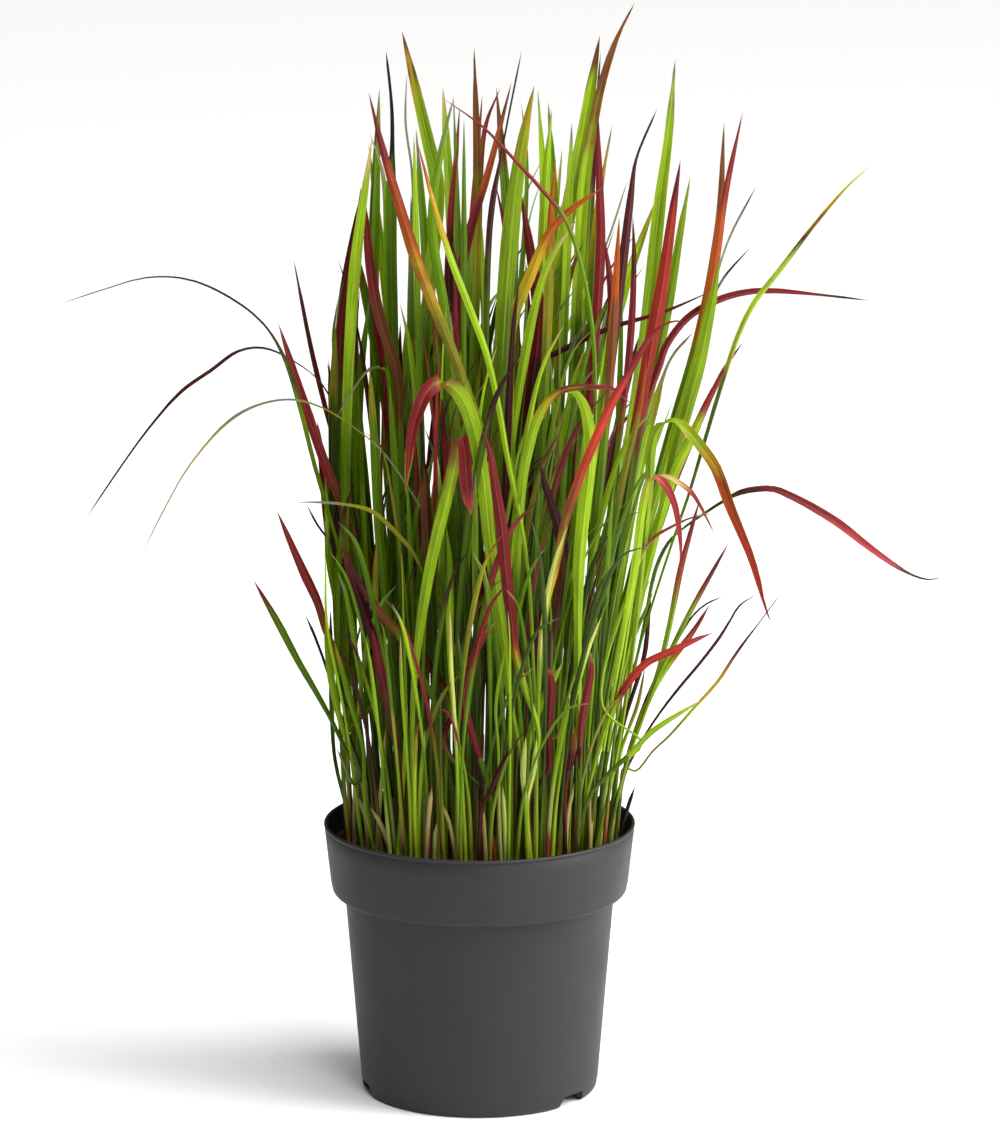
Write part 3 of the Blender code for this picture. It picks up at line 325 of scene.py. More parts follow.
def add_piece(name, mesh, material, slot, *nodes):
    """Put a mesh in the scene as a piece that rides with the pot and stands for CAD nodes."""
    mesh.materials.append(material)
    piece = bpy.data.objects.new(name, mesh)
    bpy.context.collection.objects.link(piece)
    mesh.shade_smooth()
    if nodes:
        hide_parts(*nodes)
    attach(piece, "root")
    return piece


pot_mesh = turned("nursery_pot", pot_profile(), POT_SIDES)
cutter = bpy.data.objects.new("notch_cutter", notch_cutter())
blank = bpy.data.objects.new("pot_blank", pot_mesh)
for made in (cutter, blank):
    bpy.context.collection.objects.link(made)
slots = blank.modifiers.new("notches", "BOOLEAN")
slots.operation = "DIFFERENCE"
slots.object = cutter
pot_mesh = bpy.data.meshes.new_from_object(blank.evaluated_get(bpy.context.evaluated_depsgraph_get()))
for made in (cutter, blank):
    bpy.data.objects.remove(made)
add_piece("nursery_pot", pot_mesh, moulded_polypropylene(), "grey_plastic", "pot")
pot_mesh.set_sharp_from_angle(angle=math.radians(SHARP_EDGE))


# Soil: dark peat compost, pressed round the roots and settled to a little below the rim.
# Its top is loose crumbs and fibres, and it is darkest where it is damp.
SOIL_TOP = 0.154
SOIL_GAP = 0.0004
SOIL_RINGS = 46
SOIL_SPOKES = 120
CRUMB_COUNT = 900
CRUMB_SIZES = (0.0008, 0.0026)
CRUMB_SINKING = 0.2
CRUMB_ROUGHNESS = 0.22
LUMPS = ((0.022, 0.3, 0.0018), (0.006, 4.7, 0.0011), (0.0022, 9.1, 0.0005))
SOIL_SEED = 3


def soil_height(x, y):
    """Height of the soil's surface, with lumps of three sizes: how wide, where cut, how high."""
    height = SOIL_TOP
    for width, cut, rise in LUMPS:
        height += rise * noise.noise(Vector((x / width, y / width, cut)))
    return height


def inner_radius(height):
    """Inner radius of the pot's collar at a height, less a hair's gap."""
    slope = (RIM_RADIUS - COLLAR_FOOT_RADIUS) / (POT_HEIGHT - COLLAR_FOOT_HEIGHT)
    return COLLAR_FOOT_RADIUS - WALL + slope * (height - COLLAR_FOOT_HEIGHT - WALL) - SOIL_GAP


# Sizes in millimetres of the compost's clods and of the flecks of bark in it.
CLOD = 7
BARK_FLECK = 2.2


def peat_compost():
    """Peat compost: almost black, matt, with brown fibre and paler flecks of bark."""
    made, nodes, shader = new_material("peat_compost", "1E1612", 0.95, 1.35)
    place = add_node(nodes, "ShaderNodeTexCoord").outputs["Object"]
    clods = add_node(nodes, "ShaderNodeTexNoise", [("Vector", place)],
                     Scale=1000 / CLOD, Detail=8.0, Roughness=0.7)
    flecks = add_node(nodes, "ShaderNodeTexVoronoi", [("Vector", place)], Scale=1000 / BARK_FLECK)
    ramp = add_node(nodes, "ShaderNodeValToRGB", [("Fac", clods.outputs["Fac"])])
    ramp.color_ramp.elements[0].position = 0.32
    ramp.color_ramp.elements[0].color = linear("0E0A08")
    ramp.color_ramp.elements[1].position = 0.72
    ramp.color_ramp.elements[1].color = linear("3A2A1E")
    bark = add_node(nodes, "ShaderNodeMapRange", [("Value", flecks.outputs["Distance"])],
                    **{"From Min": 0.10, "From Max": 0.22, "To Min": 0.35, "To Max": 0.0})
    mixed = add_node(nodes, "ShaderNodeMix", [("Factor", bark.outputs[0])], data_type="RGBA")
    nodes.id_data.links.new(ramp.outputs["Color"], mixed.inputs["A"])
    mixed.inputs["B"].default_value = linear("5A4430")
    nodes.id_data.links.new(mixed.outputs["Result"], shader.inputs["Base Color"])
    relief = add_node(nodes, "ShaderNodeBump", [("Height", clods.outputs["Fac"])],
                      Strength=0.8, Distance=0.001)
    nodes.id_data.links.new(relief.outputs[0], shader.inputs["Normal"])
    return made


def soil_body():
    """The lumpy top, and the sides and underside that fill the pot."""
    shape = bmesh.new()
    top = inner_radius(SOIL_TOP)
    rings = []
    for ring in range(SOIL_RINGS + 1):
        radius = top * ring / SOIL_RINGS
        count = 1 if ring == 0 else SOIL_SPOKES
        row = []
        for i in range(count):
            angle = math.tau * i / SOIL_SPOKES
            x, y = radius * math.cos(angle), radius * math.sin(angle)
            row.append(shape.verts.new((x, y, soil_height(x, y))))
        rings.append(row)
    foot = RECESS + FLOOR + SOIL_GAP
    ledge = COLLAR_FOOT_HEIGHT + WALL + SOIL_GAP
    for radius, height in (
            (inner_radius(ledge + 0.003), ledge + 0.003), (inner_radius(ledge) - 0.0015, ledge),
            (BODY_TOP_RADIUS - WALL - SOIL_GAP * 2, ledge),
            (BODY_FOOT_RADIUS - 0.75 * WALL - SOIL_GAP * 2, foot)):
        rings.append(circle(shape, radius, height, SOIL_SPOKES))
    rings.append([shape.verts.new((0, 0, foot))])
    join_rings(shape, rings, SOIL_SPOKES)
    bmesh.ops.recalc_face_normals(shape, faces=shape.faces)
    return shape


def add_crumbs(shape):
    """Crumbs of compost and bark, half sunk in the surface."""
    chance = random.Random(SOIL_SEED)
    for _ in range(CRUMB_COUNT):
        size = chance.uniform(*CRUMB_SIZES)
        radius = (inner_radius(SOIL_TOP) - 2 * size) * math.sqrt(chance.random())
        angle = chance.uniform(0, math.tau)
        x, y = radius * math.cos(angle), radius * math.sin(angle)
        stretch = Matrix.Diagonal(
            (chance.uniform(0.7, 1.6), chance.uniform(0.6, 1.1), chance.uniform(0.5, 0.9), 1))
        turn = Matrix.Rotation(chance.uniform(0, math.tau), 4, "Z")
        lift = Matrix.Translation((x, y, soil_height(x, y) + size * CRUMB_SINKING))
        made = bmesh.ops.create_icosphere(shape, subdivisions=1, radius=size, matrix=lift @ turn @ stretch)
        for vertex in made["verts"]:
            vertex.co += Vector([
                chance.uniform(-CRUMB_ROUGHNESS, CRUMB_ROUGHNESS) * size for _ in range(3)])


soil_shape = soil_body()
add_crumbs(soil_shape)
soil_mesh = bpy.data.meshes.new("compost")
soil_shape.to_mesh(soil_mesh)
soil_shape.free()
add_piece("compost", soil_mesh, peat_compost(), "potting_soil", "soil")


# Leaves: blades of grass, each a thin ribbon folded along its midrib. They rise from the
# soil as round stems, flatten into blades, and dry to a thread at the tip. The paths are
# as seen from the standpoint against the upright plane through the pot's axis.
STEM_WIDTH = 3.2
STEM_THICKNESS = 2.6
STEM_LENGTH = 95
LEAF_THICKNESS = 0.9
WIDTH_STATIONS = (0, 0.12, 0.35, 0.55, 0.8, 0.93, 1)
WIDTH_SHARES = (0.42, 0.46, 0.66, 1.0, 1.2, 0.72, 0.08)
STEM_THICKENING = 1.6
THICKNESS_TO_TIP = ((0, 0.8, 1), (1, 1, 0.5))


def from_sight(sight):
    """Real places of points given as across, up and depth from the standpoint."""
    sight = np.asarray(sight, float)
    scale = (sight[..., 2] - STANDPOINT[1]) / -STANDPOINT[1]
    across = STANDPOINT[0] + (sight[..., 0] - STANDPOINT[0]) * scale
    up = STANDPOINT[2] + (sight[..., 1] - STANDPOINT[2]) * scale
    return np.stack((across, sight[..., 2], up), -1)


def to_sight(place):
    """Across, up and depth of real places, as they look from the standpoint."""
    place = np.asarray(place, float)
    scale = -STANDPOINT[1] / (place[..., 1] - STANDPOINT[1])
    across = STANDPOINT[0] + (place[..., 0] - STANDPOINT[0]) * scale
    up = STANDPOINT[2] + (place[..., 2] - STANDPOINT[2]) * scale
    return np.stack((across, up, place[..., 1]), -1)


def travel_along(path):
    """Distance travelled along a path at each of its points."""
    return np.concatenate(([0], np.cumsum(np.linalg.norm(np.diff(path, axis=0), axis=1))))


PATH_SPACING = 4.0


def smooth_path(points):
    """A smooth curve through points, sampled every few millimetres."""
    points = np.asarray(points, float)
    padded = np.vstack((2 * points[0] - points[1], points, 2 * points[-1] - points[-2]))
    knots = np.concatenate(([0], np.cumsum(np.sqrt(np.linalg.norm(np.diff(padded, axis=0), axis=1)))))
    samples = []
    for i in range(1, len(padded) - 2):
        p0, p1, p2, p3 = padded[i - 1:i + 3]
        t0, t1, t2, t3 = knots[i - 1:i + 3]
        steps = max(2, int(np.linalg.norm(p2 - p1) / PATH_SPACING))
        t = np.linspace(t1, t2, steps, endpoint=False)[:, None]
        a1 = (t1 - t) / (t1 - t0) * p0 + (t - t0) / (t1 - t0) * p1
        a2 = (t2 - t) / (t2 - t1) * p1 + (t - t1) / (t2 - t1) * p2
        a3 = (t3 - t) / (t3 - t2) * p2 + (t - t2) / (t3 - t2) * p3
        b1 = (t2 - t) / (t2 - t0) * a1 + (t - t0) / (t2 - t0) * a2
        b2 = (t3 - t) / (t3 - t1) * a2 + (t - t1) / (t3 - t1) * a3
        samples.append((t2 - t) / (t2 - t1) * b1 + (t - t1) / (t2 - t1) * b2)
    samples.append(points[-1:])
    return np.vstack(samples)


# A leaf leans out little low down and more towards its tip, and a tall one leans farther.
DEPTH_EASING = 1.15
TALL_LEAF = 460
TALL_LEAF_SPREAD = 1.35


def with_depths(points, start_depth, tip_depth):
    """Give every path point a depth, easing from the start to the tip where none is stated."""
    if points[-1][1] > TALL_LEAF:
        tip_depth *= TALL_LEAF_SPREAD
    flat = np.array([point[:2] for point in points], float)
    travel = travel_along(flat)
    eased = start_depth + (tip_depth - start_depth) * (travel / travel[-1]) ** DEPTH_EASING
    depths = [point[2] if len(point) > 2 else eased[k] for k, point in enumerate(points)]
    return np.column_stack((flat, depths))


def bend_along(path):
    """Degrees that a path turns at each of its inner points."""
    steps = np.diff(path, axis=0)
    heading = steps / np.linalg.norm(steps, axis=1)[:, None]
    return np.degrees(np.arccos(np.clip((heading[1:] * heading[:-1]).sum(1), -1, 1)))


def stations(path, spacing, bend, least, most):
    """Indices along a path, a spacing or a bend apart, so closer together where it turns."""
    turns = bend_along(path)
    measure = travel_along(path) / spacing
    measure[1:-1] += np.cumsum(turns) / bend
    measure[-1] += turns.sum() / bend
    count = int(np.clip(round(measure[-1]), least, most))
    wanted = np.linspace(0, measure[-1], count + 1)
    return sorted({int(np.argmin(abs(measure - value))) for value in wanted})


# A withered leaf rolls up along its length, within a short part of it, to this share of
# its width.
WITHERED = ("grey", "black")
WITHERED_SHARE = 0.46
ROLLING_LENGTH = 0.03


def rolled_shares(recipe, share):
    """How much of its width a leaf keeps: from where it withers to its tip, it rolls up."""
    words = recipe.split()
    kept = np.minimum.accumulate([WITHERED_SHARE if word in WITHERED else 1.0 for word in words[::2]])
    marks, shares = [0.0], [kept[0]]
    for word, before, after in zip(words[1::2], kept, kept[1:]):
        marks += [int(word) / 100 - ROLLING_LENGTH, int(word) / 100 + ROLLING_LENGTH]
        shares += [before, after]
    return np.interp(share, marks, shares)


def carried_frames(places, turned):
    """Directions of width and thickness along a leaf, carried along it without spinning."""
    heading = np.gradient(places, axis=0)
    heading[0] = places[1] - places[0]
    heading /= np.linalg.norm(heading, axis=1)[:, None]
    width_way = np.array((1.0, 0.0, 0.0))
    ways = []
    for forward, angle in zip(heading, np.diff(turned, prepend=0)):
        width_way = width_way - forward * width_way.dot(forward)
        width_way = width_way / np.linalg.norm(width_way)
        width_way = width_way * math.cos(angle) + np.cross(forward, width_way) * math.sin(angle)
        ways.append(width_way)
    ways = np.array(ways)
    return ways, np.cross(heading, ways)


def hanging_frames(places, turned):
    """Directions of width and thickness for a leaf that bows over and hangs down again.

    It shows its face on the way up and on the way down, and its edge where it crosses over.
    """
    heading = np.gradient(places, axis=0)
    heading /= np.linalg.norm(heading, axis=1)[:, None]
    crossing = heading[:, :1] ** 4
    level = np.array((1.0, 0.0, 0.0)) - heading * heading[:, :1]
    away = np.array((0.0, 1.0, 0.0)) - heading * heading[:, 1:2]
    ways = level * (1 - crossing) + away * crossing
    ways /= np.linalg.norm(ways, axis=1)[:, None]
    thick_ways = np.cross(heading, ways)
    ways = ways * np.cos(turned)[:, None] + thick_ways * np.sin(turned)[:, None]
    return ways, np.cross(heading, ways)


# A leaf turns its edge to the front above its stem. A side leaf leaves its leader as a stout
# root. Settling holds a leaf by its foot, and loosens it from there up.
TURN_START = 60
TURN_LENGTH = 90
SIDE_ROOT_LENGTH = 30
SIDE_ROOT_STOUTNESS = 0.3
HELD_LENGTH = 12
LOOSENING_LENGTH = 60
FINE_SPACING = 9.0
FINE_BEND = 9.0
FINE_RINGS = (8, 90)


class Leaf:
    """One leaf: its path in sight coordinates, and the rings on which it is settled."""

    def __init__(self, width, turn, path, rings, leader=None, fork=None, side=0):
        self.width = width
        self.turn = turn
        self.path = path
        self.rings = rings
        self.leader = leader
        self.fork = fork
        self.side = side
        # The lower of two leaves on one face of a leader lies outside the upper one.
        self.layer = side * (3 - fork // 2) if side else 0
        self.sight = path[rings].copy()
        self.travel = travel_along(path)[rings]
        ease = np.clip((self.travel - HELD_LENGTH) / LOOSENING_LENGTH, 0, 1)
        self.freedom = ease * ease * (3 - 2 * ease)

    def turned(self, travel):
        """How far the leaf has turned about its length, in radians."""
        return np.radians(self.turn) * np.clip((travel - TURN_START) / TURN_LENGTH, 0, 1)

    def stem_share(self, travel):
        """How much of the leaf's section is stem and how much blade."""
        if self.leader is None:
            return np.clip(1 - travel / STEM_LENGTH, 0, 1)
        return np.clip(1 - travel / SIDE_ROOT_LENGTH, 0, 1) * SIDE_ROOT_STOUTNESS

    def breadths(self, travel):
        """Width and thickness at places along the leaf's solid."""
        share = travel / self.travel[-1]
        stem = self.stem_share(travel)
        width = self.width * np.interp(share, WIDTH_STATIONS, WIDTH_SHARES) * (1 - stem) + STEM_WIDTH * stem
        stout = np.minimum(stem * STEM_THICKENING, 1)
        thickness = LEAF_THICKNESS + (STEM_THICKNESS - LEAF_THICKNESS) * stout
        return width, thickness * np.interp(share, *THICKNESS_TO_TIP)

    def fine_path(self):
        """Places along the settled leaf, close enough together for a smooth blade."""
        travel = travel_along(self.path)
        strain = np.interp(travel, self.travel, self.sight[:, 2] - self.path[self.rings, 2])
        for _ in range(3):
            strain[2:-2] = (strain[:-4] + strain[1:-3] + strain[2:-2] + strain[3:-1] + strain[4:]) / 5
        sight = self.path + np.column_stack((np.zeros((len(strain), 2)), strain))
        picked = stations(sight, FINE_SPACING, FINE_BEND, *FINE_RINGS)
        return from_sight(sight[picked]), travel[picked]


# A leader starts in a pit in the soil and goes straight up through its surface. Side leaves
# may leave it at a lower and an upper fork, each between two heights over the soil.
PIT_DEPTH = 5
PIT_GAP = 0.3
UPRIGHT_LENGTH = 3
FORK_HEIGHTS = ((24, 34), (58, 68))
RING_SPACING = 170
RING_BEND = 26
LEADER_RINGS = (3, 12)


def leader_leaf(foot, width, turn, tip_depth, points, forks):
    """A leaf that starts in the soil, upright for its first few millimetres."""
    soil = SOIL_TOP / MM
    start = to_sight((foot[0], foot[1], soil - PIT_DEPTH + PIT_GAP))
    surface = to_sight((foot[0], foot[1], soil + UPRIGHT_LENGTH))
    path = with_depths([tuple(surface[:2])] + list(points), foot[1], tip_depth)
    path[0] = surface
    path = np.vstack((start, smooth_path(path)))
    heights = from_sight(path)[:, 2] - soil
    fork_rings = [int(np.argmax(heights > height)) for fork in forks for height in FORK_HEIGHTS[fork]]
    first_free = fork_rings[-1] if fork_rings else 1
    upper = [first_free + k for k in stations(path[first_free:], RING_SPACING, RING_BEND, *LEADER_RINGS)]
    return Leaf(width, turn, path, sorted({0, 1, *fork_rings, *upper}))


SIDE_ROOT_STEP = 2.6
SIDE_ROOT_RISE = 1.6
SIDE_FIRST_RING = 5
SIDE_RINGS = (3, 9)


def side_leaf(leader, forks, side, fork, width, turn, tip_depth, points):
    """A leaf that leaves one face of the leader between the two rings of a fork."""
    low = 2 + 2 * forks.index(fork)
    start = (leader.sight[low] + leader.sight[low + 1]) / 2
    start[2] += side * STEM_THICKNESS / 2
    away = start + (leader.sight[low + 1] - leader.sight[low]) * SIDE_ROOT_RISE
    away[2] += side * SIDE_ROOT_STEP
    path = with_depths([tuple(away[:2])] + list(points), away[2], tip_depth)
    path[0] = away
    path = smooth_path(np.vstack((start, path)))
    rings = stations(path, RING_SPACING, RING_BEND, *SIDE_RINGS)
    if rings[1] > SIDE_FIRST_RING:
        rings.insert(1, SIDE_FIRST_RING)
    return Leaf(width, turn, path, rings, leader, low, side)


# Leaves keep this far from each other. Those of one shoot come apart from where they fork.
LEAF_CLEARANCE = 1.1
FORK_OPENING = 0.12
REACH_ROOM = 9


class Samples:
    """Points every few millimetres along a leaf's chords, for keeping leaves apart."""

    def __init__(self, leaf, first_ring):
        ways, thick_ways = carried_frames(from_sight(leaf.sight), leaf.turned(leaf.travel))
        width, thickness = leaf.breadths(leaf.travel)
        across = 0.5 * (width * np.hypot(ways[:, 0], ways[:, 2]) + thickness)
        deep = 0.5 * (width * abs(ways[:, 1]) + thickness * abs(thick_ways[:, 1]))
        flat = leaf.sight[:, :2]
        low, share = [], []
        for k, length in enumerate(np.linalg.norm(np.diff(flat, axis=0), axis=1)):
            count = max(1, int(length / PATH_SPACING))
            low.extend([k] * count)
            share.extend(np.arange(count) / count)
        low.append(len(flat) - 2)
        share.append(1.0)
        self.low = np.array(low)
        self.share = np.array(share)
        mix = self.share[:, None]
        self.flat = flat[self.low] * (1 - mix) + flat[self.low + 1] * mix
        self.across = self.blend(across)
        self.deep = self.blend(deep)
        self.travel = self.blend(leaf.travel)
        self.ring = first_ring + self.low
        self.low_corner = self.flat.min(0) - REACH_ROOM
        self.high_corner = self.flat.max(0) + REACH_ROOM

    def blend(self, values):
        """Values at the rings, read at the samples."""
        return values[self.low] * (1 - self.share) + values[self.low + 1] * self.share


def contacts(leaves, samples, movable):
    """Pairs of samples that look closer than the leaves' own breadths.

    Each is (leaf, sample, leaf, sample, depth to keep, stretch number, stated order).
    """
    found = []
    stretch = 0
    for i, first in enumerate(samples):
        for j in range(i + 1, len(samples)):
            second = samples[j]
            if not (movable[i] or movable[j]):
                continue
            if (first.low_corner > second.high_corner).any() or (
                    second.low_corner > first.high_corner).any():
                continue
            apart = np.linalg.norm(first.flat[:, None] - second.flat[None], axis=2)
            nearest = apart.argmin(1)
            distance = apart[np.arange(len(nearest)), nearest]
            close = distance < first.across + second.across[nearest] + LEAF_CLEARANCE
            one_shoot = (leaves[i].leader or leaves[i]) is (leaves[j].leader or leaves[j])
            order = leaves[i].layer - leaves[j].layer if one_shoot else 0
            previous = -9
            for a in np.flatnonzero(close):
                b = nearest[a]
                keep = first.deep[a] + second.deep[b] + LEAF_CLEARANCE
                if one_shoot:
                    out = max(first.travel[a] if leaves[i].leader else 0,
                              second.travel[b] if leaves[j].leader else 0)
                    keep = min(keep, FORK_OPENING * out)
                # Leaves that part and meet again may cross over in between.
                if a > previous + 2:
                    stretch += 1
                previous = a
                found.append((i, a, j, b, keep, stretch, order))
    return found


# Settling ends after so many rounds, or once every leaf has its room but for a hair. In each
# round a leaf evens out a share of what bends it, and it follows an order that is stated.
SETTLING_ROUNDS = 500
SETTLED = 0.05
EVENING = 0.15
LEAST_FREEDOM = 0.05
STATED_ORDER_WEIGHT = 1000


def settle(free, fixed):
    """Move leaves nearer or farther, along the line of sight, until none runs through another."""
    leaves = free + fixed
    movable = [True] * len(free) + [False] * len(fixed)
    starts = np.cumsum([0] + [len(leaf.rings) for leaf in leaves])
    samples = [Samples(leaf, start) for leaf, start in zip(leaves, starts)]
    depth = np.concatenate([leaf.sight[:, 2] for leaf in leaves])
    freedom = np.concatenate([
        leaf.freedom * (1.0 if moves else 0.0) for leaf, moves in zip(leaves, movable)])
    found = contacts(leaves, samples, movable)
    ring_a = np.array([samples[i].ring[a] for i, a, *_ in found])
    share_a = np.array([samples[i].share[a] for i, a, *_ in found])
    ring_b = np.array([samples[j].ring[b] for _, _, j, b, *_ in found])
    share_b = np.array([samples[j].share[b] for _, _, j, b, *_ in found])
    keep, stretch, stated = (np.array([row[k] for row in found]) for k in (4, 5, 6))

    def difference():
        """How much farther away the first leaf of each pair is than the second."""
        first = depth[ring_a] * (1 - share_a) + depth[ring_a + 1] * share_a
        second = depth[ring_b] * (1 - share_b) + depth[ring_b + 1] * share_b
        return first - second

    order = np.zeros(stretch.max() + 1)
    np.add.at(order, stretch, difference() + stated * STATED_ORDER_WEIGHT)
    way = np.where(order[stretch] >= 0, 1.0, -1.0)
    free_a = freedom[ring_a] * (1 - share_a) + freedom[ring_a + 1] * share_a
    free_b = freedom[ring_b] * (1 - share_b) + freedom[ring_b + 1] * share_b
    total = np.maximum(free_a + free_b, LEAST_FREEDOM)
    before, after, mix = [], [], []
    for leaf, start in zip(leaves, starts):
        last = len(leaf.rings) - 1
        for k in range(last + 1):
            low, high = max(k - 1, 0), min(k + 1, last)
            before.append(start + low)
            after.append(start + high)
            mix.append((leaf.travel[k] - leaf.travel[low]) / (leaf.travel[high] - leaf.travel[low]))
    before, after, mix = np.array(before), np.array(after), np.array(mix)
    inner = (before < np.arange(len(before))) & (after > np.arange(len(before)))
    natural = depth.copy()
    ends = (
        (ring_a, 1 - share_a, share_a, way * free_a), (ring_a + 1, share_a, 1 - share_a, way * free_a),
        (ring_b, 1 - share_b, share_b, -way * free_b), (ring_b + 1, share_b, 1 - share_b, -way * free_b))
    for _ in range(SETTLING_ROUNDS):
        short = np.maximum(keep - way * difference(), 0)
        if short.max() < SETTLED:
            break
        push = np.zeros(len(depth))
        weight = np.full(len(depth), 1e-9)
        for ring, share, other, toward in ends:
            strength = share * (short > 0)
            np.add.at(push, ring, toward * short / total * share / (share ** 2 + other ** 2) * strength)
            np.add.at(weight, ring, strength)
        depth = depth + freedom * push / weight
        strain = depth - natural
        even = strain[before] * (1 - mix) + strain[after] * mix
        depth = depth + freedom * inner * (even - strain) * EVENING
    for leaf, start, moves in zip(leaves, starts, movable):
        if moves:
            leaf.sight[:, 2] = depth[start:start + len(leaf.rings)]


# Colours of living and dying leaf, from the sap-filled blade to the withered tip. A leaf's
# recipe is its colours from foot to tip, with the percentage of its length between them.
LEAF_COLOURS = {
    "lime": "7C9A12", "green": "506F02", "deep": "2B3C01", "pale": "A6AE54", "olive": "726E12",
    "gold": "A08018", "orange": "8E3C0E", "crimson": "66161A", "scarlet": "9A2A1C",
    "rose": "94303A", "maroon": "380E12", "brown": "5C3214", "straw": "A29058",
    "grey": "6A6854", "black": "180E0C",
}

# The edge of a blade is ahead of its midrib in turning colour. One colour runs into the next
# over a part of the leaf, and quickly so at the withered end.
EDGE_LEAD = 0.05
MIDRIB_LAG = 0.02
LONGEST_BLEND = 0.11
WITHERED_BLEND = 0.016
PAST_THE_TIP = 1.3


def leaf_colour(word):
    """Linear colour of a word in a recipe."""
    return np.array(linear(LEAF_COLOURS[word])[:3])


def recipe_colours(recipe, share, across, ripple):
    """Linear colours along a leaf; the edges redden and wither before the midrib does."""
    words = recipe.split()
    colours = [leaf_colour(word) for word in words[::2]]
    marks = [int(word) / 100 for word in words[1::2]]
    reach = share[:, None] + (EDGE_LEAD * across[None, :] ** 2 - MIDRIB_LAG + ripple[:, None])
    made = np.broadcast_to(colours[0], (*reach.shape, 3)).copy()
    for mark, colour, following in zip(marks, colours[1:], marks[1:] + [PAST_THE_TIP]):
        width = min(LONGEST_BLEND, (following - mark) * 0.7, mark * 0.5)
        if colour is colours[-1]:
            width = WITHERED_BLEND
        step = np.clip((reach - mark) / width + 0.5, 0, 1)
        step = (step * step * (3 - 2 * step))[..., None]
        made = made * (1 - step) + colour * step
    return made


# Across a blade, from left edge to right edge over the upper face and back underneath:
# place in half widths, and which face.
SECTION = (
    (-1.0, 0), (-0.62, 1), (-0.22, 1), (0.0, 1), (0.22, 1), (0.62, 1),
    (1.0, 0), (0.62, -1), (0.22, -1), (0.0, -1), (-0.22, -1), (-0.62, -1),
)
SECTION_ACROSS = np.array([row[0] for row in SECTION])
SECTION_FACE = np.array([row[1] for row in SECTION], float)
SECTION_ANGLE = np.arctan2(SECTION_FACE * np.sqrt(1 - SECTION_ACROSS ** 2), SECTION_ACROSS)

# Skin of a blade: how it wavers (degrees) above a height, how uneven it is across, how far it
# is folded along its midrib (degrees), and how thick. Shares are from foot to tip.
WAVER = (4, 12)
WAVER_TURNS = (4, 9)
WAVER_HEIGHT = 150
UNEVENNESS = 0.04
UNEVEN_TURNS = (9, 20)
FOLD = (18, 32)
FOLD_SHARES = ((0, 0.3, 0.8, 1), (1.8, 1.2, 0.7, 0.4))
BLADE_THICKNESS = 0.42
THICKNESS_SHARES = ((0, 0.7, 1), (1.2, 1, 0.5))
RIDGE_SHARES = ((0, 0.22, 1), (1.1, 0.9, 0.3))
LEAST_ROLL = 1.7
OUTER_RADIUS = 60
HOLLOW_RISE = 0.9
HANGING_SLOPE = -0.35
PHASE = (0, 6)
FRONT_GAP = 0.1

# A stem is slimmer than its solid, a side leaf starts slimmer still, and a leader is slim
# above its stem. The folded leaf at the front ends blunt, where it is bent over.
SKIN_STEM_SHARE = 0.8
SIDE_STEM_SHARE = 0.5
NARROW_TRAVEL = (0, 50, 90, 170)
NARROW_SHARES = (0.8, 0.68, 0.72, 1)
BLUNT_STATIONS = (0.75, 0.88, 0.94, 0.98, 1)
BLUNT_SHARES = (1, 1.25, 1.9, 3.2, 4.5)

# Tone of a blade: it wanders along the leaf, has the sheath's colour at its foot, and carries
# painted shade, darker low down in the middle of the clump. No two leaves are equally bright.
WANDER = 0.012
WANDER_LENGTHS = (3.1, 7.7)
LEAF_WANDER = 0.02
SHEATH_START = 8
SHEATH_LENGTH = (35, 75)
SHEATH_PAST_FORK = (-2, 5)
SHEATH_TONE = (0.75, 1.1)
SHADED_RADIUS = (66, 92)
SHADED_EDGE = 0.25
PAINTED_SHADE_STRENGTH = (0.1, 1.15)
FOOT_SHADE = ((0, 12, 60, 210), (0.26, 0.36, 0.55, 1))
BRIGHTNESS = (0.5, 1.16, 0.96)
PATTERN_SHIFT = 900


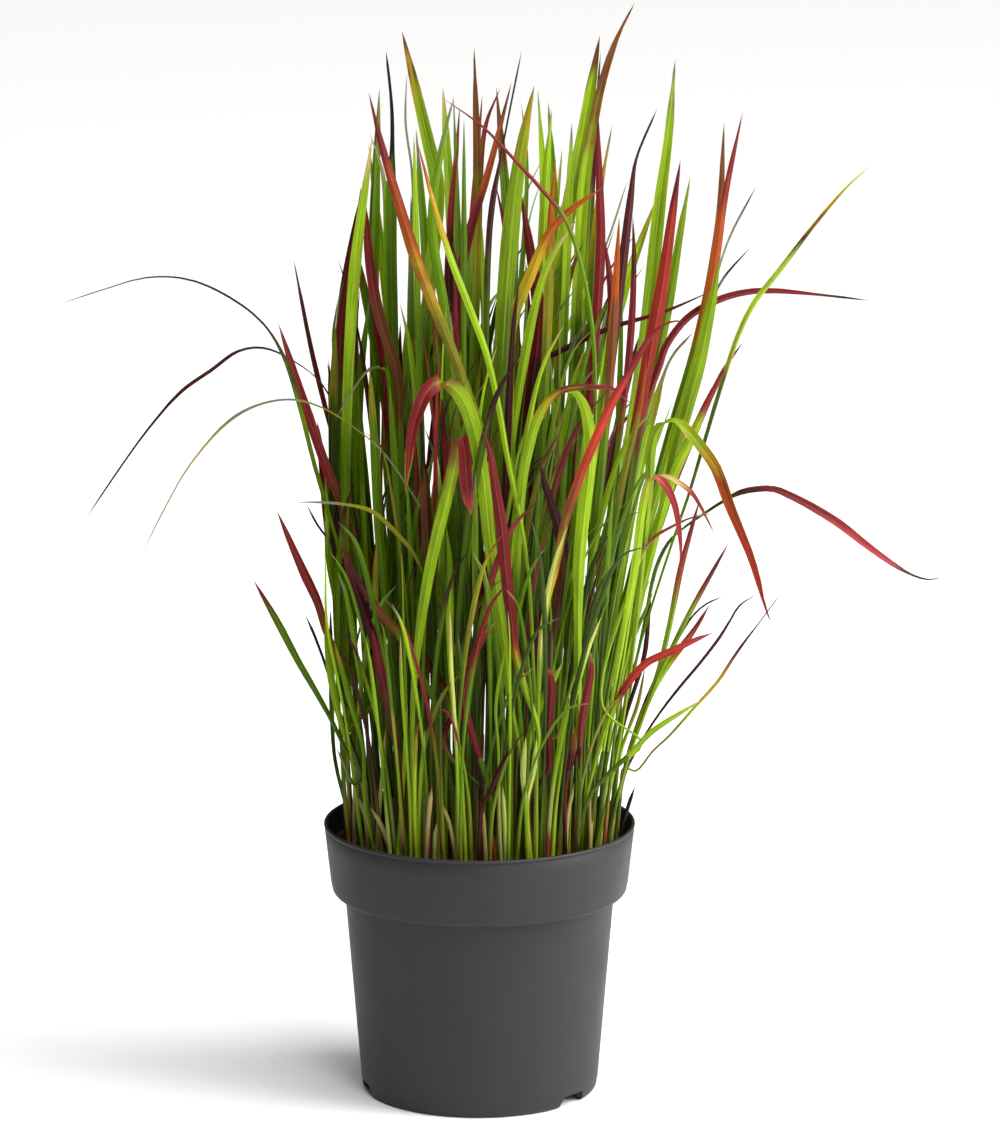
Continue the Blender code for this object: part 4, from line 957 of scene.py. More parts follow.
class BladeMesh:
    """Collects blades into one mesh, with the colours and directions that their finish reads."""

    def __init__(self, seed):
        self.chance = random.Random(seed)
        self.places = []
        self.faces = []
        self.tints = []
        self.blade = []
        self.count = 0

    def wavering_frames(self, leaf, places, travel):
        """Directions of width and thickness along a leaf, with a slow waver."""
        share = travel / travel[-1]
        waver = math.radians(self.chance.uniform(*WAVER)) * np.sin(
            share * self.chance.uniform(*WAVER_TURNS) + self.chance.uniform(*PHASE))
        waver = waver * np.clip(travel / WAVER_HEIGHT, 0, 1)
        falls = places[-len(places) // 4:]
        hangs = (falls[-1] - falls[0])[2] < HANGING_SLOPE * np.linalg.norm(falls[-1] - falls[0])
        frames = hanging_frames if hangs else carried_frames
        return frames(places, leaf.turned(travel) + waver)

    def uneven_width(self, leaf, recipe, travel, blunt):
        """Width along a leaf: a little uneven, slim above the stem, and rolled up at the tip."""
        share = travel / travel[-1]
        width, _ = leaf.breadths(travel)
        width = width * (1 + UNEVENNESS * np.sin(
            share * self.chance.uniform(*UNEVEN_TURNS) + self.chance.uniform(*PHASE)))
        if blunt:
            width = width * np.interp(share, BLUNT_STATIONS, BLUNT_SHARES)
        if leaf.leader is None:
            width = width * np.interp(travel, NARROW_TRAVEL, NARROW_SHARES)
        return np.minimum(width, np.maximum(width * rolled_shares(recipe, share), LEAST_ROLL))

    def folded_section(self, leaf, places, thick_ways, travel, width):
        """Across and through a leaf at each ring: round at the stem, folded along the midrib above."""
        share = travel / travel[-1]
        fold = math.radians(self.chance.uniform(*FOLD)) * np.interp(share, *FOLD_SHARES)
        # The hollow of the fold looks up, and in towards the middle of the clump.
        middle = len(places) // 2
        outward = np.append(places[middle][:2] / OUTER_RADIUS, -HOLLOW_RISE)
        rise = -1.0 if thick_ways[middle].dot(outward) > 0 else 1.0
        blade_x = SECTION_ACROSS[None, :] * width[:, None] / 2
        thick = BLADE_THICKNESS * np.interp(share, *THICKNESS_SHARES)[:, None] / 2
        ridge = np.interp(abs(SECTION_ACROSS), *RIDGE_SHARES)[None, :]
        valley = (abs(SECTION_ACROSS)[None, :] - 0.5) * (width / 2 * np.tan(fold))[:, None]
        blade_z = rise * valley + SECTION_FACE[None, :] * rise * thick * ridge
        stem_x = np.cos(SECTION_ANGLE)[None, :] * STEM_WIDTH * SKIN_STEM_SHARE / 2
        stem_z = np.sin(SECTION_ANGLE)[None, :] * STEM_THICKNESS * SKIN_STEM_SHARE / 2 * rise
        stem = leaf.stem_share(travel)
        if leaf.leader is not None:
            stem_x, stem_z = stem_x * SIDE_STEM_SHARE, stem_z * SIDE_STEM_SHARE
            stem = np.clip(1 - travel / SIDE_ROOT_LENGTH, 0, 1)
        mix = (stem * stem * (3 - 2 * stem))[:, None]
        return blade_x * (1 - mix) + stem_x * mix, blade_z * (1 - mix) + stem_z * mix

    def tints_with_painted_shade(self, places, travel, recipe, base):
        """Colours of a leaf: its recipe, its sheath's colour at the foot, and painted shade low in the clump.
        """
        phase = [self.chance.uniform(*PHASE) for _ in range(3)]
        short, long = WANDER_LENGTHS
        ripple = WANDER * (np.sin(travel / short + phase[0]) + np.sin(travel / long + phase[1]))
        ripple = ripple + LEAF_WANDER * math.sin(phase[2])
        tints = recipe_colours(recipe, travel / travel[-1], SECTION_ACROSS, ripple)
        if base is not None:
            foot = np.clip(1 - (travel - SHEATH_START) / self.chance.uniform(*SHEATH_LENGTH), 0, 1)
            foot = foot[:, None, None]
            tints = tints * (1 - foot) + leaf_colour(base) * foot
        # Painted shade: the leaf is darkened towards the soil and in the middle of the clump, where the clump
        # shades it.
        inside = np.interp(np.hypot(places[:, 0], places[:, 1]), SHADED_RADIUS, (1, SHADED_EDGE))
        painted_shade = self.chance.uniform(*PAINTED_SHADE_STRENGTH) * (1 - np.interp(travel, *FOOT_SHADE)) * inside
        return tints * self.chance.triangular(*BRIGHTNESS) * (1 - painted_shade)[:, None, None]

    def add_blade(self, leaf, recipe, base=None, blunt=False):
        """A leaf's skin, from its stem in the soil to its fine tip."""
        places, travel = leaf.fine_path()
        ways, thick_ways = self.wavering_frames(leaf, places, travel)
        width = self.uneven_width(leaf, recipe, travel, blunt)
        x, z = self.folded_section(leaf, places, thick_ways, travel, width)
        skin = places[:, None] + ways[:, None] * x[..., None] + thick_ways[:, None] * z[..., None]
        skin[..., 1] = np.maximum(skin[..., 1], packed_box[0][1] / MM + FRONT_GAP)
        tints = self.tints_with_painted_shade(places, travel, recipe, base)
        face = np.broadcast_to(SECTION_FACE[None, :], x.shape)
        across = np.broadcast_to(SECTION_ACROSS[None, :], x.shape)
        along = np.broadcast_to(travel[:, None] + self.chance.uniform(0, PATTERN_SHIFT), x.shape)
        self.add_skin(skin, tints, np.stack((across, along, face), -1))

    def add_sheath(self, leader, side, colour):
        """The papery sheath that wraps the stem up to where a side leaf leaves it."""
        places, travel = leader.fine_path()
        end = leader.travel[side.fork + 1] + self.chance.uniform(*SHEATH_PAST_FORK)
        marks = np.concatenate((np.linspace(0, end - 7, 7), (end - 3, end)))
        line = np.column_stack([np.interp(marks, travel, places[:, k]) for k in range(3)])
        ways, thick_ways = carried_frames(line, np.zeros(len(marks)))
        swell = np.concatenate((np.linspace(1.1, 1.04, 7), (1.0, 0.6)))
        stem = leader.stem_share(marks)
        width, _ = leader.breadths(marks)
        width = width * np.interp(marks, NARROW_TRAVEL, NARROW_SHARES)
        width = np.maximum(width, SKIN_STEM_SHARE * STEM_WIDTH)
        x = np.cos(SECTION_ANGLE)[None, :] * (width / 2 * swell)[:, None]
        z = np.sin(SECTION_ANGLE)[None, :] * (STEM_THICKNESS / 2 * swell * (0.55 + 0.45 * stem))[:, None]
        skin = line[:, None] + ways[:, None] * x[..., None] + thick_ways[:, None] * z[..., None]
        tone = leaf_colour(colour) * self.chance.uniform(*SHEATH_TONE)
        rise = np.clip(marks / end * 1.3 - 0.25, 0, 1)[:, None, None]
        tints = tone * (1 - rise) + leaf_colour("green") * rise
        # Painted shade: the sheath is darkened towards the soil.
        tints = tints * np.interp(marks, *FOOT_SHADE)[:, None, None]
        tints = np.broadcast_to(tints, skin.shape)
        blade = np.stack((np.broadcast_to(SECTION_ACROSS, x.shape),
                          np.broadcast_to(marks[:, None] + self.chance.uniform(0, PATTERN_SHIFT), x.shape),
                          np.broadcast_to(SECTION_FACE, x.shape)), -1)
        self.add_skin(skin, tints, blade)

    def add_skin(self, skin, tints, blade):
        """Rings of points joined into a closed tube with a point at its end."""
        rings, around = skin.shape[:2]
        first = self.count
        flat = skin[:-1].reshape(-1, 3)
        self.places.append(np.vstack((flat, skin[-1].mean(0))))
        self.tints.append(np.vstack((tints[:-1].reshape(-1, 3), tints[-1].mean(0))))
        self.blade.append(np.vstack((blade[:-1].reshape(-1, 3), blade[-1][3])))
        self.count += len(flat) + 1
        self.faces.append(tuple(first + i for i in reversed(range(around))))
        for k in range(rings - 2):
            low = first + k * around
            for i in range(around):
                j = (i + 1) % around
                self.faces.append((low + i, low + j, low + around + j, low + around + i))
        low = first + (rings - 2) * around
        for i in range(around):
            self.faces.append((low + i, low + (i + 1) % around, first + (rings - 1) * around))

    def mesh(self, name):
        """The finished mesh, in metres."""
        mesh = bpy.data.meshes.new(name)
        mesh.from_pydata((np.vstack(self.places) * MM).tolist(), [], self.faces)
        shape = bmesh.new()
        shape.from_mesh(mesh)
        bmesh.ops.recalc_face_normals(shape, faces=shape.faces)
        shape.to_mesh(mesh)
        shape.free()
        tints = np.vstack(self.tints)
        tint = mesh.attributes.new("tint", "FLOAT_COLOR", "POINT")
        opaque = np.column_stack((tints, np.ones(len(tints))))
        tint.data.foreach_set("color", opaque.astype(np.float32).ravel())
        blade = mesh.attributes.new("blade", "FLOAT_VECTOR", "POINT")
        blade.data.foreach_set("vector", np.vstack(self.blade).astype(np.float32).ravel())
        return mesh


# Marks in a leaf: the pitch is in half widths of the blade, and the length in millimetres.
# Real veins are finer, so they are drawn as coarse as they need to show.
CREASE = math.radians(31)
VEIN_PITCH = 0.2
VEIN_LENGTH = 60
BLOTCH_PITCH = 1.25
BLOTCH_LENGTH = 26


def living_leaf():
    """Living grass leaf: a waxy skin over wet green flesh, with veins along its whole length.

    The midrib and the veins are paler than the flesh between them, light that enters one
    face glows out of the other, and the wax gives a soft, streaked gloss.
    """
    made, nodes, shader = new_material("living_leaf", "6A9A22", 0.42, 1.45)
    link = nodes.id_data.links.new
    tint = add_node(nodes, "ShaderNodeAttribute", attribute_name="tint").outputs["Color"]
    blade = add_node(nodes, "ShaderNodeAttribute", attribute_name="blade").outputs["Vector"]
    part = add_node(nodes, "ShaderNodeSeparateXYZ", [("Vector", blade)]).outputs
    aside = add_node(nodes, "ShaderNodeMath", [(0, part["X"])], operation="ABSOLUTE").outputs[0]
    midrib = add_node(nodes, "ShaderNodeMapRange", [("Value", aside)], interpolation_type="SMOOTHSTEP",
                      **{"From Min": 0.03, "From Max": 0.14, "To Min": 1.0, "To Max": 0.0}).outputs[0]
    stretched = add_node(nodes, "ShaderNodeVectorMath", [(0, blade)], operation="MULTIPLY")
    stretched.inputs[1].default_value = (1 / VEIN_PITCH, 1 / VEIN_LENGTH, 0)
    veins = add_node(nodes, "ShaderNodeTexNoise", [("Vector", stretched.outputs[0])],
                     Scale=1.0, Detail=3.0).outputs["Fac"]
    blotched = add_node(nodes, "ShaderNodeVectorMath", [(0, blade)], operation="MULTIPLY")
    blotched.inputs[1].default_value = (1 / BLOTCH_PITCH, 1 / BLOTCH_LENGTH, 1.3)
    blotches = add_node(nodes, "ShaderNodeTexNoise", [("Vector", blotched.outputs[0])],
                        Scale=1.0, Detail=5.0).outputs["Fac"]
    shade = add_node(nodes, "ShaderNodeMapRange", [("Value", veins)],
                     **{"From Min": 0.3, "From Max": 0.7, "To Min": 0.66, "To Max": 1.26}).outputs[0]
    patch = add_node(nodes, "ShaderNodeMapRange", [("Value", blotches)],
                     **{"From Min": 0.3, "From Max": 0.7, "To Min": 0.76, "To Max": 1.2}).outputs[0]
    both = add_node(nodes, "ShaderNodeMath", [(0, shade), (1, patch)], operation="MULTIPLY").outputs[0]
    flesh = add_node(nodes, "ShaderNodeVectorMath", [(0, tint), ("Scale", both)],
                     operation="SCALE").outputs[0]
    lit = add_node(nodes, "ShaderNodeMix", [("Factor", midrib)], data_type="RGBA")
    pale = add_node(nodes, "ShaderNodeVectorMath", [(0, tint)], operation="MULTIPLY_ADD")
    pale.inputs[1].default_value = (1.16, 1.14, 1.14)
    pale.inputs[2].default_value = (0.02, 0.022, 0.01)
    link(flesh, lit.inputs["A"])
    link(pale.outputs[0], lit.inputs["B"])
    link(lit.outputs["Result"], shader.inputs["Base Color"])
    gloss = add_node(nodes, "ShaderNodeMapRange", [("Value", veins)],
                     **{"From Min": 0.3, "From Max": 0.7, "To Min": 0.46, "To Max": 0.30}).outputs[0]
    link(gloss, shader.inputs["Roughness"])
    relief = add_node(nodes, "ShaderNodeBump", [("Height", veins)], Strength=0.35, Distance=0.0003)
    link(relief.outputs[0], shader.inputs["Normal"])
    shader.inputs["Specular IOR Level"].default_value = 0.12
    shader.inputs["Subsurface Weight"].default_value = 0.2
    shader.inputs["Subsurface Radius"].default_value = (0.8, 1.0, 0.3)
    shader.inputs["Subsurface Scale"].default_value = 0.001
    return made


leaf_finish = living_leaf()


# Arching leaves: the long single leaves that bow out of the clump or fold over its front.
# Each: width, how far it turns its edge to the front (degrees), depth at the tip, and its
# path from low to high as (across, up) or (across, up, depth).
ARCHING_SHOOTS = (
    ("shoot_arch_left_high", (-66, -8), (4.5, 68, -10, (
        (-76, 215), (-81, 260), (-83, 300), (-85, 335), (-92, 362), (-100, 391), (-109, 428),
        (-118, 457), (-130, 477), (-150, 493), (-175, 504), (-200, 505), (-225, 498),
        (-252, 489)))),
    ("shoot_arch_left_middle", (-52, 34), (4.0, 62, 45, (
        (-62, 250), (-68, 330), (-78, 400), (-95, 440), (-110, 453), (-130, 462), (-145, 460),
        (-162, 448), (-180, 435), (-200, 412), (-220, 384), (-238, 357)))),
    ("shoot_arch_left_low", (-21, -26), (3.6, 62, -48, (
        (-22, 220), (-24, 280), (-27, 345), (-40, 371), (-60, 400), (-75, 413), (-90, 423),
        (-110, 430), (-130, 428), (-150, 418), (-175, 390), (-190, 364), (-205, 334)))),
    ("shoot_arch_right_far", (79, 4), (4.4, 38, -5, (
        (88, 230), (100, 290), (108, 328), (117, 345), (125, 352), (135, 359), (147, 367),
        (158, 373), (168, 375), (178, 375), (190, 370), (208, 360), (220, 352), (235, 340),
        (250, 329), (262, 322), (272, 319), (281, 320.5)))),
    ("shoot_arch_right_red", (70, -36), (5.6, 16, -64, (
        (82, 200), (90, 250), (96, 300), (100, 345), (103, 380), (104, 400), (107, 411),
        (112, 416.5), (118, 417), (125, 412), (135, 400), (143, 388), (151, 366), (158, 349),
        (163, 337), (168, 322), (173, 303), (177, 292)))),
    ("shoot_arch_right_crimson", (58, 8), (4.2, 25, 14, (
        (72, 250), (88, 350), (100, 425), (109, 452), (112, 462), (125, 480), (143, 491),
        (160, 496), (175, 497), (210, 494), (235, 491)))),
    ("shoot_right_long", (73, -14), (3.4, 35, -16, (
        (88, 240), (104, 300), (118, 345), (127, 372), (135, 400), (144, 432), (150, 452),
        (156, 470), (165, 489), (180, 509), (200, 536), (220, 560), (235, 574)))),
    ("shoot_front_hook", (25, -58), (8.0, 8, -104, (
        (28, 185, -60), (26, 205, -62), (22, 225, -63), (18, 247, -65), (15, 280, -67),
        (10, 315, -69), (6, 345, -71), (3, 375, -73), (0, 395, -75), (-4, 415, -78),
        (-10, 431, -82), (-17, 439, -88), (-24, 441, -94), (-31, 436, -98), (-37, 423, -101),
        (-41, 407, -103), (-43, 390, -104), (-45, 371, -104)))),
    ("shoot_front_folded", (-38, -60), (6.5, 8, -86, (
        (-41, 215, -62), (-40, 250, -64), (-37, 280, -66), (-34, 302, -68), (-29, 330, -70),
        (-24, 352, -72), (-19, 372, -74), (-15, 390, -76), (-13, 402, -78), (-11, 407.5, -82),
        (-9, 400, -86), (-8, 385, -87), (-7, 372, -87), (-5, 359, -87)))),
    ("shoot_front_arch", (18, -52), (5.0, 14, -72, (
        (20, 230), (22, 300), (24, 350), (27, 385), (30, 400), (35, 418), (42, 430),
        (50, 436), (60, 438), (70, 438), (80, 437.5), (86, 432), (93, 427)))),
)

ARCHING_LOOKS = {
    "shoot_arch_left_high": ("green 60 deep 68 black 90 grey",),
    "shoot_arch_left_middle": ("green 46 grey 52 black 66 maroon 84 black",),
    "shoot_arch_left_low": ("green 38 pale 46 grey 60 olive 70 grey 82 straw",),
    "shoot_arch_right_far": ("green 46 deep 64 maroon 70 crimson 82 rose 94 black",),
    "shoot_arch_right_red": ("lime 70 gold 75 orange 82 scarlet 97 black",),
    "shoot_arch_right_crimson": ("olive 45 crimson 92 black",),
    "shoot_right_long": ("green 50 deep 66 olive 73 lime 84 maroon 89 brown 92 gold 95 lime",),
    "shoot_front_hook": ("lime 76 crimson 96 olive",),
    "shoot_front_folded": ("lime 79 crimson 97 rose",),
    "shoot_front_arch": ("green 50 lime 84 gold 88 brown 93 rose",),
}


# Upright shoots: the front half of the clump. A leader leaf carries shorter leaves, which
# leave one of its faces (-1 front, 1 back) at its lower or upper fork (0 or 1).
UPRIGHT_SHOOTS = (
    ((-60, 14), (4.0, 40, 48, (
        (-66, 240), (-72, 300), (-77, 355), (-84, 390), (-93, 425), (-101, 460), (-111.5, 517))), (
        (-1, 0, 5.5, 20, 0, ((-70, 280), (-73, 325), (-83, 365), (-93, 390), (-103, 420), (-121, 478))),
        (1, 1, 5.0, 25, 42, ((-68, 300), (-73, 400), (-72, 440), (-66, 492))))),
    ((-71, -20), (4.8, 25, -40, (
        (-74, 228), (-80, 250), (-86, 270), (-93, 287), (-98, 305), (-107, 325), (-122.5, 362))), (
        (-1, 0, 4.0, 42, -45, ((-80, 210), (-90, 231), (-100, 250), (-110, 268), (-122, 292), (-137, 319))),
        (1, 1, 2.4, 30, -10, ((-88, 250), (-95, 270), (-100, 284), (-106, 298))))),
    ((-62, -36), (4.2, 25, -52, (
        (-72, 195), (-78, 212), (-84, 228), (-89, 250), (-92, 270), (-94, 291))), (
        (-1, 0, 6.5, 10, -48, ((-76, 190), (-82, 203), (-87, 214))),
        (1, 1, 5.4, 15, -38, ((-58, 250), (-61, 270), (-66, 287), (-71, 302), (-77, 320), (-83, 345))))),
    ((-45, -48), (6.5, 10, -58, (
        (-47, 185), (-50, 212), (-53, 226), (-56, 243), (-60, 262), (-65, 288))), (
        (1, 1, 4.5, 35, -30, ((-44, 250), (-46, 300), (-48, 340), (-50, 380), (-54, 440))),
        (1, 0, 5.5, 20, -20, ((-52, 260), (-60, 340), (-63, 400), (-66, 450))))),
    ((-14, -44), (5.0, 25, -62, (
        (-20, 215), (-26, 240), (-32, 253), (-40, 268), (-50, 287), (-60, 298), (-82, 333))), (
        (1, 1, 5.0, 20, -50, ((-20, 245), (-28, 262), (-38, 275), (-50, 292))),
        (-1, 1, 3.4, 20, -74, ((-20, 225), (-18, 232), (-12, 246), (-6, 262))))),
    ((-44, 8), (4.0, 45, 30, (
        (-50, 250), (-58, 350), (-66, 420), (-71, 460), (-76, 488), (-85, 517))), (
        (-1, 1, 3.0, 45, -15, (
            (-48, 300), (-51, 380), (-53, 430), (-57, 449), (-66, 449), (-75, 438), (-87, 418))),
        (1, 1, 4.5, 30, 50, ((-50, 300), (-55, 430), (-55, 520), (-58, 570), (-65.5, 593))))),
    ((-50, -12), (3.2, 40, -20, ((-60, 250), (-70, 320), (-76, 365), (-78, 391))), (
        (-1, 0, 3.2, 40, -8, ((-66, 270), (-78, 318), (-87, 338), (-98, 353), (-105, 367))),
        (1, 1, 5.5, 15, 10, ((-48, 300), (-48, 400), (-50, 450), (-54, 462), (-62, 490), (-70, 563))))),
    ((20, -16), (6.0, 15, -42, (
        (20, 220), (17, 300), (10, 365), (2, 405), (-8, 437), (-17, 462), (-27, 487), (-38, 517),
        (-48, 550), (-58, 585), (-66, 618))), (
        (-1, 1, 4.0, 30, -34, ((24, 300), (20, 385), (14, 410), (16, 452), (18, 500))),
        (1, 0, 7.0, 10, 5, ((22, 300), (30, 420), (36, 480), (34, 500), (25, 557))))),
    ((-6, -32), (2.4, 40, -62, (
        (-8, 220), (-14, 270), (-23, 302), (-32, 320), (-40, 336), (-50, 348), (-64, 361),
        (-76, 365), (-95, 367), (-113, 367))), (
        (1, 0, 6.0, 20, -10, ((-10, 260), (-14, 400), (-20, 480), (-28, 540), (-21, 590), (-15, 615))),
        (1, 1, 3.4, 30, 5, ((-8, 300), (-9, 450), (-9, 560), (-9, 603))))),
    ((-38, 24), (6.2, 10, 32, (
        (-44, 250), (-50, 380), (-52, 480), (-53, 540), (-52, 605), (-55.5, 643))), (
        (-1, 1, 7.5, 10, 4, ((-42, 280), (-38, 400), (-30, 500), (-25, 560), (-31, 590), (-46, 655))),
        (1, 0, 3.0, 30, 60, ((-44, 300), (-42, 450), (-40, 565), (-44, 600), (-43, 630))))),
    ((-27, -4), (5.5, 20, 14, (
        (-22, 250), (-20, 320), (-18, 400), (-16, 450), (-11, 510), (-4, 540), (4, 565), (19.5, 624))), (
        (-1, 1, 4.2, 25, -20, ((-30, 300), (-36, 450), (-38, 550), (-39, 593))),)),
    ((-15, 30), (5.0, 30, 42, ((-16, 300), (-18, 450), (-17, 545), (-12.5, 588))), (
        (-1, 0, 5.0, 15, 12, ((-12, 300), (-4, 450), (-1, 555), (-2, 610), (-3, 645))),
        (1, 1, 4.5, 25, 58, ((-8, 350), (-2, 480), (0, 560), (4, 598), (13, 621))))),
    ((0, 6), (4.6, 25, 10, ((4, 300), (8, 400), (17, 500), (16, 530), (10, 562))), (
        (-1, 1, 4.2, 40, -16, ((0, 300), (4, 450), (7, 540), (13, 578), (25.5, 643))),
        (1, 0, 3.6, 30, 32, ((5, 300), (20, 450), (28, 550), (28, 585), (25, 612))))),
    ((7, -22), (9.5, 10, -12, (
        (10, 260), (12, 400), (14, 460), (17, 510), (22, 560), (28, 598), (33, 622))), ()),
    ((24, 16), (5.0, 20, 30, ((26, 260), (33, 400), (38, 520), (38, 570), (35, 620))), (
        (-1, 1, 5.5, 15, 6, ((28, 300), (36, 450), (40, 565), (43.5, 608))),
        (1, 1, 8.6, 8, 46, ((32, 350), (44, 480), (54, 550), (60, 580), (67, 622), (72, 652))))),
    ((32, -8), (5.0, 15, 0, ((33, 260), (38, 400), (42, 500), (43, 545), (46, 578))), (
        (-1, 1, 6.0, 10, -32, (
            (27, 260), (20, 380), (18, 440), (20, 477), (31, 507), (42, 532), (52, 544), (74, 560))),
        (1, 0, 5.0, 20, 36, ((40, 350), (47, 440), (50, 480), (55, 508), (63, 528))))),
    ((41, 32), (6.4, 15, 40, (
        (46, 260), (54, 400), (60, 520), (63, 565), (67, 592), (73, 622), (82, 650), (93, 672))), (
        (-1, 1, 5.0, 20, 16, ((44, 300), (50, 450), (54, 560), (55.5, 600))),
        (1, 0, 4.0, 30, 60, ((54, 350), (64, 500), (69.5, 600), (72.5, 642))))),
    ((47, 2), (5.5, 10, 0, ((52, 260), (62, 380), (70, 470), (73, 530), (72, 565), (71, 605))), (
        (-1, 1, 5.5, 15, -26, ((56, 300), (70, 400), (80, 470), (79, 500), (75, 530))),
        (1, 0, 5.0, 25, 22, ((58, 300), (66, 440), (71, 545), (79.5, 598))))),
    ((56, -20), (5.5, 22, -12, (
        (62, 260), (74, 400), (85, 500), (91, 555), (94, 577), (106.5, 608))), (
        (-1, 0, 5.0, 20, -30, ((66, 300), (78, 430), (82, 500), (84, 543))),
        (1, 1, 4.4, 35, 8, ((70, 300), (84, 400), (91, 465), (93, 515), (92, 543))))),
    ((60, 24), (7.0, 15, 35, (
        (70, 260), (88, 390), (99, 465), (103, 500), (108, 550), (113, 590), (117, 638))), (
        (-1, 0, 5.5, 20, 20, ((80, 300), (100, 420), (114, 490), (121, 535), (126.5, 567))),
        (1, 1, 6.0, 20, 52, ((66, 300), (72, 400), (77, 455), (86, 495), (106, 553))))),
    ((67, -2), (7.4, 10, 5, (
        (76, 260), (90, 380), (102, 455), (110, 500), (116, 545), (120.5, 577))), (
        (-1, 0, 5.0, 25, -15, ((88, 300), (115, 400), (132, 460), (141, 510), (147, 553), (157.5, 606))),
        (1, 1, 5.0, 25, 16, ((86, 300), (112, 400), (132, 470), (143, 530), (146.5, 600))))),
    ((70, -28), (7.0, 15, -28, (
        (82, 240), (98, 320), (112, 365), (119, 400), (127, 432), (133, 455), (140, 490), (145, 520))), (
        (-1, 1, 5.5, 15, -44, ((96, 300), (116, 380), (130, 411), (139, 432), (149, 451))),
        (1, 0, 3.2, 35, -6, ((104, 330), (128, 440), (144, 500), (163, 524))))),
    ((64, 42), (4.0, 30, 62, ((80, 260), (110, 380), (136, 480), (149, 527), (166, 561))), (
        (-1, 0, 4.4, 25, 30, ((86, 280), (115, 370), (147, 448), (159, 466))),
        (1, 1, 4.4, 25, 56, ((84, 300), (100, 400), (115, 455), (129, 472))))),
    ((12, 36), (3.6, 12, 12, (
        (18, 260), (20, 380), (24, 425), (30, 449), (50, 461), (80, 475), (110, 484), (140, 497))), (
        (1, 0, 3.4, 35, 44, ((24, 300), (40, 440), (49, 465), (60, 490), (76, 525), (89, 565))),)),
    ((39, -51), (5.2, 14, -74, (
        (36, 200), (36, 240), (38, 275), (41, 305), (46, 325), (52, 355), (60, 380), (70, 405),
        (80, 428), (90, 446), (104, 470), (115, 478), (127, 478))), (
        (-1, 0, 5.0, 15, -76, ((42, 200), (42, 222), (43, 240), (44, 253), (42, 262), (38, 264.5))),
        (1, 1, 3.8, 20, -58, ((46, 220), (52, 240), (58, 262), (65, 290), (72, 312), (79, 338), (84, 365),
                              (90, 395), (97, 425), (101, 455))))),
    ((76, -24), (4.0, 25, -48, (
        (90, 205), (98, 228), (105, 250), (109, 262), (114, 283), (118, 303), (122, 325),
        (127, 345), (133.5, 370))), (
        (-1, 0, 3.6, 22, -58, ((93, 215), (103, 243), (110, 262), (118, 278), (125, 293), (151, 342))),
        (1, 0, 3.4, 25, -32, ((96, 225), (106, 250), (115, 266), (122, 276), (130, 287), (140, 304))))),
    ((83, -9), (2.4, 30, -30, (
        (88, 195), (97, 215), (110, 236), (122, 252), (135, 268), (146, 283), (153, 295),
        (158, 303), (170, 311))), (
        (-1, 0, 3.2, 20, -36, (
            (95, 199), (106, 212), (116, 221.5), (131, 239), (145, 255), (157, 274), (184, 312))),
        (1, 0, 2.8, 30, -14, (
            (98, 235), (110, 264), (120, 281), (130, 297), (138, 304), (149, 309))))),
    ((58, -48), (4.4, 18, -72, (
        (66, 182), (80, 199), (92, 210), (104, 223), (115, 231), (126, 238), (135, 244))), (
        (1, 0, 4.6, 15, -56, ((80, 235), (93, 258), (103, 268), (112, 272), (130, 281), (142, 286))),
        (1, 1, 2.8, 35, -42, ((75, 240), (90, 310), (104, 343), (117, 352), (130, 358), (143, 360))))),
    ((32, -68), (6.0, 10, -86, (
        (30, 178, -70), (33, 200, -74), (36, 220, -78), (34, 233, -80), (28, 250, -82),
        (22, 273), (19, 300), (16, 325),
        (14, 348), (10, 375), (6, 400), (1, 413))), (
        (1, 0, 4.2, 15, -60, ((29, 200), (31, 222), (36, 238), (44, 254), (51, 268))),
        (1, 1, 3.8, 25, -36, ((33, 260), (30, 320), (26, 350), (17, 395), (12, 425), (4, 460), (-5, 485),
                              (-17, 517), (-27, 550), (-37, 588))))),
    ((58, -64), (5.6, 10, -78, ((61, 180), (61, 205), (62, 228), (65, 246), (68, 262), (67, 276))), (
        (1, 1, 7.4, 10, -64, ((60, 260), (60, 300), (61, 335), (64, 365), (67, 395), (66, 415),
                              (62, 429), (56, 436), (48, 434))),
        (-1, 1, 3.8, 15, -84, ((55, 200), (57, 215), (58, 227))))),
    ((64, -42), (4.5, 22, -80, (
        (80, 240), (93, 320), (100, 370), (104, 382), (108, 382), (113, 377), (118, 366),
        (121, 350), (122, 335), (121, 326))), (
        (1, 1, 3.0, 30, -62, ((84, 250), (96, 330), (104, 380), (113, 383), (120, 379.5), (128, 373.5),
                              (133, 366), (143, 346))),)),
    ((4, -68), (6.5, 10, -84, (
        (7, 178), (5, 192), (1, 205), (-3, 218), (-7, 230), (-10, 243), (-9, 252), (-5, 265),
        (-1, 277), (10, 293))), (
        (1, 1, 5.0, 15, -72, ((4, 180), (8, 188), (13, 200), (18, 212), (23, 226))),
        (1, 0, 3.0, 20, -62, ((-18, 208), (-22, 219), (-17, 233), (-12, 246))))),
    ((-14, -66), (4.2, 18, -62, (
        (-13, 195), (-14, 215), (-16, 238), (-17, 260), (-18, 300), (-18, 330), (-20, 352))), (
        (1, 0, 6.0, 15, -40, ((-24, 240), (-30, 320), (-33, 380), (-36, 430))),)),
    ((40, -30), (6.0, 18, -56, (
        (42, 262), (46, 290), (50, 318), (51, 335), (49, 348), (45, 362), (40, 377), (36, 394))), (
        (-1, 0, 4.4, 12, -40, ((34, 240), (33, 255), (34, 275), (35, 303))),)),
)

